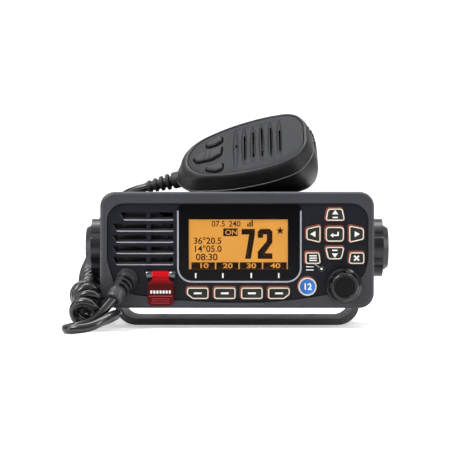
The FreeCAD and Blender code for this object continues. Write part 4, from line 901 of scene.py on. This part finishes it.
class RADIO_OT_front(bpy.types.Operator):
    """Adds the pale lips of the grille, a painted highlight on the slots' lower edges, and the printed ring
    by the knob
    """
    bl_idname = "radio.front"
    bl_label = "Front"

    # grille slots: top one's top and inset, and what all share
    SLOTS, SLOT_TOP, TOP_INSET = 5, 66.4, 4.2
    SLOT_PITCH, SLOT_HEIGHT, SLOT_LEFT, SLOT_RIGHT = 6.39, 4.2, -71.0, -36.5
    END_LIP = 0.55               # share of the lower lip's radius
    KNOB_MARK = (48.2, 34.2)
    MARK_POINTER = [(46.9, 35.4), (44.4, 37.0), (44.2, 36.7), (46.7, 35.1)]

    def execute(self, context):
        sizes = context.scene.radio_sizes
        face = GLAND.y * MM
        lip_highlights, ends, sills = bmesh.new(), bmesh.new(), bmesh.new()
        right = self.SLOT_RIGHT
        for i in range(self.SLOTS):
            top = self.SLOT_TOP - i * self.SLOT_PITCH
            base = top - self.SLOT_HEIGHT
            left = self.SLOT_LEFT + (self.TOP_INSET if i == 0 else 0.0)
            under = base - 0.1
            # pale lower lip along each slot is a painted highlight; the slanted ends keep the case's own
            # colour
            lower = [(left + 2.2, base + 0.1), (left + 2.9, under), (left + 5.0, under),
                     (right - 13.5, under), (right - 2.5, under), (right - 0.4, under), (right, base + 0.2)]
            end = [(left + 0.1, top - 0.9), (left + 1.0, (top + base) / 2), (left + 2.2, base + 0.1)]
            for bm, route, radius in ((lip_highlights, lower, sizes.lip), (ends, end, sizes.lip * self.END_LIP)):
                swept(bm, [Vector((x * MM, face, z * MM)) for x, z in route], radius)
            # sloped lower wall in each slot, coloured lighter than the fascia as painted light
            start, stop = left + 2.6, right - 0.2
            profile = [(0.1, under), (2.6, base + 1.9), (2.6, under)]
            verts = [sills.verts.new((start * MM, face + y * MM, z * MM)) for y, z in profile]
            made = bmesh.ops.extrude_face_region(sills, geom=[sills.faces.new(verts)])["geom"]
            bmesh.ops.translate(sills, vec=((stop - start) * MM, 0, 0), verts=verts_of(made))
        face_outwards(sills)
        settle("grille_lips", lip_highlights, "radio", ["grille lip"])
        settle("grille_slot_ends", ends, "radio", ["case plastic"])
        settle("grille_sills", sills, "radio", ["grille sill"], smooth=0)
        bm = bmesh.new()
        ring_plate(bm, *self.KNOB_MARK, 1.75, 1.35, face, sizes.mark_lift)
        for outline in (disc(*self.KNOB_MARK, 0.7), self.MARK_POINTER, bar(41.6, 35.4, 4.4, 0.5),
                        bar(41.6, 33.6, 4.4, 0.5)):
            plate(bm, outline, face, sizes.mark_lift)
        settle("knob_ring_mark", bm, "radio", ["mark"], smooth=0)
        return {"FINISHED"}


class RADIO_OT_volume_knob(bpy.types.Operator):
    """Turns the fluted volume knob"""
    bl_idname = "radio.volume_knob"
    bl_label = "Volume knob"

    # radius and depth, from the panel outwards
    PROFILE = [(9.2, 0.0), (10.2, 0.2), (10.4, 0.7), (10.4, 3.1), (10.0, 3.9), (9.3, 4.4), (8.9, 5.0),
               (8.2, 9.6), (7.9, 11.4), (7.5, 12.3), (6.9, 12.85), (6.3, 13.0), (6.05, 12.9), (5.9, 12.7),
               (3.0, 12.65)]
    STEPS = 96
    FLUTES, FLUTE_DEPTH = 8, 0.12
    SKIRT_RADIUS, SKIRT_FROM, SKIRT_TO = 9.6, 0.1, 4.2
    CAP_RADIUS, CAP_DEPTH = 6.0, 12.5

    def execute(self, context):
        low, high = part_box("volume_knob")
        axis = Vector(((low.x + high.x) / 2, high.y, (low.z + high.z) / 2))
        bm = bmesh.new()
        verts = [bm.verts.new(axis + Vector((r, -d, 0)) * MM) for r, d in self.PROFILE]
        edges = [bm.edges.new(pair) for pair in zip(verts, verts[1:])]
        bmesh.ops.spin(bm, geom=verts + edges, cent=axis, axis=(0, 1, 0), angle=FULL_TURN, steps=self.STEPS,
                       use_merge=True)
        bmesh.ops.holes_fill(bm, edges=[e for e in bm.edges if e.is_boundary], sides=0)
        for v in bm.verts:
            out = Vector((v.co.x - axis.x, 0, v.co.z - axis.z))
            depth = (axis.y - v.co.y) / MM
            if out.length > self.SKIRT_RADIUS * MM and self.SKIRT_FROM < depth < self.SKIRT_TO:
                wave = max(0.0, math.cos(self.FLUTES * math.atan2(out.z, out.x)))
                v.co -= out.normalized() * (self.FLUTE_DEPTH * MM * wave ** 3)
        face_outwards(bm)
        for f in bm.faces:
            out = f.calc_center_median() - axis
            depth, out.y = -out.y / MM, 0
            if depth > self.CAP_DEPTH and out.length < self.CAP_RADIUS * MM:
                f.material_index = 1
        settle("volume_knob_turned", bm, "encoder_turn", ["knob gloss", "knob cap"],
               ["volume_knob"], smooth=50)
        return {"FINISHED"}


class RADIO_OT_cover(bpy.types.Operator):
    """Adds the ribs and the plain stripe of the red flip cover"""
    bl_idname = "radio.cover"
    bl_label = "Cover"

    MIDDLE = -43.5
    # height, distance of its ends and of its straight stretch from the cover's sides, and radius of each rib
    COVER_RIBS = [(z, 2.2, 3.4, 0.25) for z in (14.9, 16.1, 17.3)] + [(18.8, 0.7, 3.0, 0.34)]
    DASHES, DASH_PITCH, DASH_Z, DASH_SIZE = 7, 1.75, 21.2, (1.05, 1.7)
    BARREL_START = 4.95
    BARREL = [(0, 1.2), (0, 2.15), (0.4, 2.45), (2.9, 2.45), (3.5, 2.2), (3.75, 1.5), (3.75, 0)]

    def execute(self, context):
        low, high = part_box("distress_cover")
        bm = bmesh.new()
        for z, end, straight, radius in self.COVER_RIBS:
            places = (low.x + end * MM, low.x + straight * MM, high.x - straight * MM, high.x - end * MM)
            swept(bm, [Vector((x, low.y + 0.1 * MM, z * MM)) for x in places], radius * MM)
        settle("cover_ribs", bm, "distress_cover", ["cover edge"])
        bm = bmesh.new()
        for i in range(self.DASHES):
            x = self.MIDDLE + (i - self.DASHES // 2) * self.DASH_PITCH
            plate(bm, bar(x, self.DASH_Z, *self.DASH_SIZE), low.y + 0.05 * MM, 0.1 * MM)
        settle("cover_stripe", bm, "distress_cover", ["mark"], smooth=0)
        # glossy barrels at the ends of the hinge
        bm = bmesh.new()
        low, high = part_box("cover_pin")
        y, z = (low.y + high.y) / 2 / MM, (low.z + high.z) / 2 / MM
        for side in (-1, 1):
            start = Vector((self.MIDDLE + side * self.BARREL_START, y, z))
            turned(bm, self.BARREL, aimed(start, Vector((side, 0, 0))))
        settle("cover_hinge_barrels", bm, "radio", ["hinge chrome"], smooth=40)
        return {"FINISHED"}


class RADIO_OT_boot(bpy.types.Operator):
    """Turns the disc and the slotted boot where the cord leaves the front"""
    bl_idname = "radio.boot"
    bl_label = "Cord boot"

    # profiles of (along, radius); the boot's begins 1 mm in front of the gland's seat
    DISC = [(-2.0, 0), (-2.0, 6.0), (0, 6.3), (1.7, 6.3), (2.3, 5.9), (2.6, 5.2), (2.6, 0)]
    COLLAR = [(0, 0), (0, 5.9), (2.4, 5.8), (3.0, 5.5), (3.2, 3.4)]
    COLLAR_END, CORE, CORE_STOPS = 3.0, 2.6, 6.0
    RINGS = ((4.9, 6.3, 5.5), (8.1, 9.6, 5.2), (11.4, 13.4, 4.9))    # begin, end and radius
    BRIDGES = ((1.25, 1.5), (3.9, 1.2))                              # first angle and angle covered

    def execute(self, context):
        start = GLAND + Vector((0, -1.0, 0))
        axis = BOOT_END - start
        long = axis.length
        bm = bmesh.new()
        turned(bm, self.DISC, aimed(GLAND, Vector((0, -1, 0))))
        place = aimed(start, axis)
        turned(bm, self.COLLAR + [(long - self.CORE_STOPS, 3.0), (long - self.CORE_STOPS, 0)], place)
        gap_start, core = self.COLLAR_END, self.CORE
        for begin, end, outer in self.RINGS:
            turned(bm, [(begin, core), (begin, outer - 0.35), (begin + 0.35, outer),
                        (end - 0.35, outer - 0.1), (end, outer - 0.45), (end, core), (begin, core)], place)
            a, b, top = gap_start - 0.1, begin + 0.1, outer - 0.25
            for lead, angle in self.BRIDGES:
                turned(bm, [(a, core), (a, top), (b, top), (b, core)], place, 10, angle=angle, lead=lead)
            gap_start = end
        sleeve = [(gap_start - 1.0, 0), (gap_start - 1.0, 4.7), (gap_start, 4.75), (long - 0.7, 4.4),
                  (long - 0.15, 4.1), (long, 3.3), (long, 2.7), (long - 0.6, 2.65), (long - 0.6, 0)]
        # the sleeve takes the lighter rubber, a painted highlight
        turned(bm, sleeve, place, material=1)
        settle("cord_boot", bm, "radio", ["rubber", "sleeve"], ["cord_gland"], smooth=35)
        return {"FINISHED"}


class RADIO_OT_microphone(bpy.types.Operator):
    """Shapes the shells, keys, talk bar and strain relief of the microphone"""
    bl_idname = "radio.microphone"
    bl_label = "Microphone"

    FACE = [(-37.6, 6.5), (-30.0, 19.2), (-10.0, 26.8), (12.0, 28.4), (30.2, 25.8), (36.8, 12.0)]
    SHOULDER = [(-41.5, 7.2), (-35.0, 18.6), (-11.5, 28.2), (12.0, 30.0), (30.2, 26.6), (38.6, 12.0)]
    SEAM = [(-46.0, 8.0), (-38.0, 19.5), (-12.0, 29.0), (12.0, 30.6), (30.3, 27.0), (39.2, 12.0)]
    BELT = [(-43.0, 7.0), (-35.0, 14.8), (-11.0, 23.4), (12.0, 26.5), (31.0, 26.0), (39.6, 12.5)]
    BACK = [(-30.0, 4.5), (-24.0, 9.5), (-8.0, 14.0), (12.0, 18.8), (29.5, 21.3), (36.0, 9.0)]
    RADII = [22.0, 22.0, 80.0, 70.0, 15.0, 26.0]
    BACK_RADII = [7.0, 12.0, 40.0, 40.0, 12.0, 12.0]
    KEYS = {
        "mic_key_upper": [(-24.8, 8.6), (-19.0, 8.6), (-14.7, 11.6), (-15.2, 19.6), (-24.8, 13.2)],
        "mic_key_lower": [(-24.8, -12.8), (-24.4, -17.2), (-18.4, -20.5), (-14.4, -19.8), (-14.4, -11.4)],
        "mic_rocker_key": [(-32.9, -0.6), (-30.6, -6.0), (-21.0, -6.2), (-15.6, -3.0), (-14.7, 7.0),
                           (-28.6, 4.9)],
    }
    # u of each slit, and the v of its ends
    SLITS = [(-6.4, 3.0, 6.4), (-1.15, -12.6, 13.6), (4.25, -12.1, 15.4), (9.65, -13.0, 17.5),
             (15.15, -14.6, 15.6), (20.7, -12.4, 11.1)]
    # v of each small rib, and the u of its ends
    RIBS = [(4.4, 38.4, 40.2), (8.8, 38.2, 40.0), (13.2, 37.4, 39.5), (17.6, 36.2, 38.6), (22.0, 34.2, 37.2)]
    POCKET = ((-6.3, 22.4, -15.3), (28.3, 40.0, -4.2))

    # (shrink, level) of the loops that finish a shape
    FRONT_BASE = ((2.2, -9.0), (0.3, -9.0), (0.0, -8.7))
    FACE_RIM = ((0.5, 0.42), (0.95, 0.2), (1.2, -0.3), (1.3, -1.6), (2.6, -1.7))
    SEAM_LINE = ((1.0, -9.0), (0.0, -9.02), (-0.16, -9.12), (-0.16, -9.42), (0.0, -9.52), (1.0, -9.55))
    REAR_BASE = ((2.2, -9.55), (0.25, -9.55), (0.0, -9.8))
    REAR_END = ((0.8, -23.15), (2.2, -23.35), (5.0, -23.4))
    KEY_EDGE = ((0, -1.6), (0, 0.45), (0.12, 0.95), (0.4, 1.3), (0.9, 1.5), (1.6, 1.6))
    PANEL_EDGE = ((1.4, -1.6), (1.4, -0.12), (1.48, 0.03), (1.65, 0.1))
    # levels and slopes of the three points of the curve across each shell
    FRONT_LEVELS, FRONT_STEPS = (-3.9, 0.1, 0.4), 6
    REAR_LEVELS, REAR_SLOPES, REAR_STEPS = (-9.8, -17.5, -22.8), (0.0, -0.05, -0.16), 8
    GROOVE_HALVES, GROOVE_AT = (1.85, 21.5, 1.45), (0.4, 0.3)
    SLIT_HALF, KEY_ROOM = 0.55, 0.7
    RELIEF = ([(0, 0), (0, 4.9), (6.8, 5.1), (7.6, 4.9), (8.0, 4.4), (8.1, 3.3)]
              + ribs_profile(9.6, 4, 3.9, 2.3, 4.9, 3.7, 3.0) + [(24.4, 3.0), (24.5, 2.7), (24.5, 0)])
    BUTTON = [(0, 0), (0, 4.2), (5.0, 4.2), (5.5, 4.8), (5.7, 7.4), (6.0, 7.9), (6.6, 8.0), (7.5, 7.8),
              (7.9, 7.2), (8.0, 6.4), (8.0, 3.2), (7.6, 2.9), (7.6, 0)]

    def ring(self, bm, half, level, slope=0.0, shrink=0.0, depth=0.0):
        """Loop round the microphone; depth goes from 0 at its front to 1 at its back."""
        corners = half + [(u, -v) for u, v in reversed(half)]
        radii = [a + (b - a) * depth for a, b in zip(self.RADII, self.BACK_RADII)]
        return loop(bm, corners, radii + radii[::-1], level, slope, shrink)

    def rings(self, bm, half, finish, slope=0.0, depth=0.0):
        return [self.ring(bm, half, level, slope, shrink, depth) for shrink, level in finish]

    def shaped(self, bm):
        """Moulding put in its place, with the room for the talk bar cut out of it."""
        face_outwards(bm)
        bm.transform(MIC_PLACE)
        tool = bmesh.new()
        add_block(tool, *self.POCKET, MIC_PLACE)
        return carved(bm, tool)

    def curve(self, a, b, c, share):
        """Outline on the curve from a to c that bulges towards b."""
        return blended(blended(a, b, share), blended(b, c, share), share)

    def front(self):
        bm = bmesh.new()
        side = blended(self.SEAM, self.SHOULDER, 0.85)
        bulge = blended(self.SHOULDER, self.FACE, 0.15)
        loops = self.rings(bm, self.SEAM, self.FRONT_BASE)
        loops.append(self.ring(bm, blended(self.SEAM, side, 0.5), -6.2))
        for i in range(self.FRONT_STEPS + 1):
            share = i / self.FRONT_STEPS
            level = sum(w * n for w, n in zip(weights(share), self.FRONT_LEVELS))
            loops.append(self.ring(bm, self.curve(side, bulge, self.FACE, share), level))
        loops += self.rings(bm, self.FACE, self.FACE_RIM)
        skin(bm, loops, closed=True)
        settle("mic_front_moulding", self.shaped(bm), "mic", ["mic shell"],
               ["mic_front_shell"], smooth=30)

    def seam(self):
        # bead at the real seam between the shells, coloured pale as a painted highlight
        bm = bmesh.new()
        skin(bm, self.rings(bm, self.SEAM, self.SEAM_LINE), closed=True)
        settle("mic_seam_line", self.shaped(bm), "mic", ["mic seam"], smooth=30)

    def rear(self):
        bm = bmesh.new()
        bulge = inset_corners(self.BELT + [(u, -v) for u, v in reversed(self.BELT)], -1.6)[:len(self.BELT)]
        loops = self.rings(bm, self.SEAM, self.REAR_BASE)
        for i in range(1, self.REAR_STEPS + 1):
            share = i / self.REAR_STEPS
            level, slope = (sum(w * n for w, n in zip(weights(share), values))
                            for values in (self.REAR_LEVELS, self.REAR_SLOPES))
            outline = self.curve(self.SEAM, bulge, self.BACK, share)
            loops.append(self.ring(bm, outline, level, slope, depth=min(1.0, 1.6 * share)))
        loops += self.rings(bm, self.BACK, self.REAR_END, self.REAR_SLOPES[-1], 1.0)
        capped(bm, loops)
        bm = self.shaped(bm)
        for v, u0, u1 in self.RIBS:
            add_block(bm, (u0 - 1.2, v - 0.95, -15.0), (u1, v + 0.95, -9.8), MIC_PLACE, 0.5 * MM)
        settle("mic_rear_moulding", bm, "mic", ["mic back"], ["mic_rear_shell"], smooth=35)

    def keys(self):
        for name, corners in self.KEYS.items():
            bm = bmesh.new()
            radii = [1.7] * len(corners)
            capped(bm, [loop(bm, corners, radii, level, 0.0, shrink, 5) for shrink, level in self.KEY_EDGE])
            face_outwards(bm)
            body = name
            if name == "mic_rocker_key":
                body = "mic_rocker"
                for u in (-25.4, -22.4):
                    add_block(bm, (u - 0.3, -4.4, 1.2), (u + 0.3, 4.4, 1.9), edge=0.18)
            bm.transform(MIC_PLACE)
            settle(name + "_pad", bm, body, ["mic key"], [name], smooth=40)

    def panel(self):
        bm = bmesh.new()
        capped(bm, self.rings(bm, self.FACE, self.PANEL_EDGE))
        face_outwards(bm)
        tool = bmesh.new()
        size = Matrix.Diagonal((*self.GROOVE_HALVES, 1.0))
        for u, _, _ in self.SLITS:
            made = bmesh.ops.create_uvsphere(tool, u_segments=32, v_segments=24, radius=1.0)["verts"]
            bmesh.ops.transform(tool, matrix=Matrix.Translation((u, *self.GROOVE_AT)) @ size, verts=made)
        for corners in self.KEYS.values():
            capped(tool, [loop(tool, corners, [2.0] * len(corners), level, shrink=-self.KEY_ROOM, steps=5)
                          for level in (-2.2, 0.6)])
        face_outwards(tool)
        bm = carved(bm, tool)
        tool = bmesh.new()
        for u, v0, v1 in self.SLITS:
            add_block(tool, (u - self.SLIT_HALF, v0, -2.5), (u + self.SLIT_HALF, v1, 1.0))
        bm = carved(bm, tool)
        bm.transform(MIC_PLACE)
        settle("mic_grooved_panel", bm, "mic", ["mic face"], ["mic_face_panel"], smooth=30)

    def talk_bar(self):
        bm = node_copy("mic_ptt_bar")
        sharp = [e for e in bm.edges if len(e.link_faces) == 2 and e.calc_face_angle() > 0.4]
        bevelled(bm, sharp, 0.45 * MM)
        settle("mic_talk_bar", bm, "mic_talk", ["rubber"], ["mic_ptt_bar"], smooth=35)

    def turned_parts(self):
        """Strain relief at the cord and hanger button on the back."""
        for name, profile, place, slot, finish, node in (
                ("mic_strain_relief_ribs", self.RELIEF, aimed(RELIEF_START, -MIC_U), "rubber_black", "rubber",
                 "mic_strain_relief"),
                ("mic_hanger_turned", self.BUTTON, aimed(MIC_CENTRE + MIC_U * 4.0 + MIC_N * -22.0, -MIC_N),
                 "case_plastic", "mic back", "mic_hanger_button")):
            bm = bmesh.new()
            turned(bm, profile, place)
            settle(name, bm, "mic", [finish], [node], smooth=35)

    def execute(self, context):
        self.front()
        self.seam()
        self.rear()
        self.panel()
        self.keys()
        self.talk_bar()
        self.turned_parts()
        return {"FINISHED"}


class RADIO_OT_stage(bpy.types.Operator):
    """Sets the floor, the backdrop, the lamps and the camera"""
    bl_idname = "radio.stage"
    bl_label = "Stage"

    # all in metres
    HALF_WIDTH, FRONT, BACK, WALL, BEND = 14, -12, 2.2, 3.5, 0.9
    BACKDROP_GLOW = 0.45
    MIDDLE = Vector((0, 0, 0.05))
    # place, size and the power's setting and share of each lamp
    LAMPS = {
        "key lamp": ((-0.75, -0.65, 1.15), (0.7, 0.6), "key_light", 1.0),
        "top lamp": ((0.1, 0.35, 1.1), (1.6, 0.35), "key_light", 0.7),
        "left strip": ((-1.1, -0.45, 0.35), (0.2, 0.9), "fill_light", 0.6),
        "right strip": ((1.15, -0.35, 0.45), (0.2, 0.9), "fill_light", 0.7),
    }
    # even light by height: bright overhead, darker below, as in a tented studio
    SKY = ((0.15, (0.16, 0.16, 0.18, 1)), (0.75, (1, 1, 1, 1)))
    CAMERA, AIM, LENS, SENSOR = (0.0, -1.0503, 0.0732), Vector((-0.0069, -0.0486, 0.0592)), 140.0, 36.0

    def aimed_object(self, name, data, place, target):
        item = shown(name, data)
        item.location = place
        item.rotation_euler = (target - item.location).to_track_quat("-Z", "Y").to_euler()
        return item

    def floor(self, stage):
        material, shader = shader_of("studio floor", 0.9)
        assign(shader, Base_Color=shade(stage.floor, 1.0), Specular_IOR_Level=0.1,
               Emission_Color=(1, 1, 1, 1))
        path = add(material, "LightPath")
        scale = add(material, "Math", operation="MULTIPLY")
        link(material, path.outputs["Is Camera Ray"], scale.inputs[0])
        scale.inputs[1].default_value = self.BACKDROP_GLOW
        link(material, scale.outputs["Value"], shader.inputs["Emission Strength"])
        MATERIALS["studio floor"] = material
        bm = bmesh.new()
        left, right = -self.HALF_WIDTH, self.HALF_WIDTH
        corners = ((left, self.FRONT), (right, self.FRONT), (right, self.BACK), (left, self.BACK))
        bm.faces.new([bm.verts.new((x, y, 0)) for x, y in corners])
        back = next(e for e in bm.edges if all(v.co.y > 0 for v in e.verts))
        made = bmesh.ops.extrude_edge_only(bm, edges=[back])
        bmesh.ops.translate(bm, vec=(0, 0, self.WALL), verts=verts_of(made["geom"]))
        bevelled(bm, [e for e in bm.edges if len(e.link_faces) == 2], self.BEND, segments=16)
        settle("floor", bm, None, ["studio floor"], smooth=60)

    def sky(self, scene, strength):
        world = bpy.data.worlds.new("studio")
        scene.world = world
        world.use_nodes = True
        background = world.node_tree.nodes["Background"]
        height = add(world, "SeparateXYZ")
        link(world, add(world, "TexCoord").outputs["Generated"], height.inputs["Vector"])
        ramp = add_ramp(world, self.SKY)
        link(world, height.outputs["Z"], ramp.inputs["Fac"])
        link(world, ramp.outputs["Color"], background.inputs["Color"])
        assign(background, Strength=strength)

    def execute(self, context):
        scene = context.scene
        stage = scene.radio_stage
        self.floor(stage)
        self.sky(scene, stage.world)
        for name, (place, size, setting, share) in self.LAMPS.items():
            data = bpy.data.lights.new(name, "AREA")
            data.shape = "RECTANGLE"
            data.size, data.size_y = size
            data.energy = getattr(stage, setting) * share
            self.aimed_object(name, data, place, self.MIDDLE)
        data = bpy.data.cameras.new("camera")
        data.lens, data.sensor_width = self.LENS, self.SENSOR
        data.clip_start, data.clip_end = 0.05, 20.0
        scene.camera = self.aimed_object("camera", data, self.CAMERA, self.AIM)
        scene.view_settings.view_transform = "Standard"
        return {"FINISHED"}


class RADIO_PT_panel(bpy.types.Panel):
    """Lists the radio's sizes, colours and groups of pieces"""
    bl_label = "Radio"
    bl_idname = "RADIO_PT_panel"
    bl_space_type = "VIEW_3D"
    bl_region_type = "UI"
    bl_category = "Radio"

    def draw(self, context):
        for group in ("radio_sizes", "radio_colours", "radio_stage"):
            values = getattr(context.scene, group)
            column = self.layout.column(align=True)
            for name in values.bl_rna.properties.keys():
                if name not in ("rna_type", "name"):
                    column.prop(values, name)
        for step in STEPS:
            self.layout.operator(step.bl_idname)


STEPS = [RADIO_OT_finishes, RADIO_OT_stage, RADIO_OT_boot, RADIO_OT_microphone, RADIO_OT_cords,
         RADIO_OT_front, RADIO_OT_keys, RADIO_OT_display, RADIO_OT_volume_knob, RADIO_OT_cover]
GROUPS = {"radio_colours": RadioColours, "radio_sizes": RadioSizes, "radio_stage": RadioStage}


def register():
    for cls in (*GROUPS.values(), *STEPS, RADIO_PT_panel):
        bpy.utils.register_class(cls)
    for name, cls in GROUPS.items():
        setattr(bpy.types.Scene, name, PointerProperty(type=cls))


def unregister():
    for name in GROUPS:
        delattr(bpy.types.Scene, name)
    for cls in (RADIO_PT_panel, *reversed(STEPS), *GROUPS.values()):
        bpy.utils.unregister_class(cls)


def main():
    register()
    for step in STEPS:
        getattr(bpy.ops.radio, step.bl_idname.split(".")[1])()


if __name__ == "__main__":
    main()
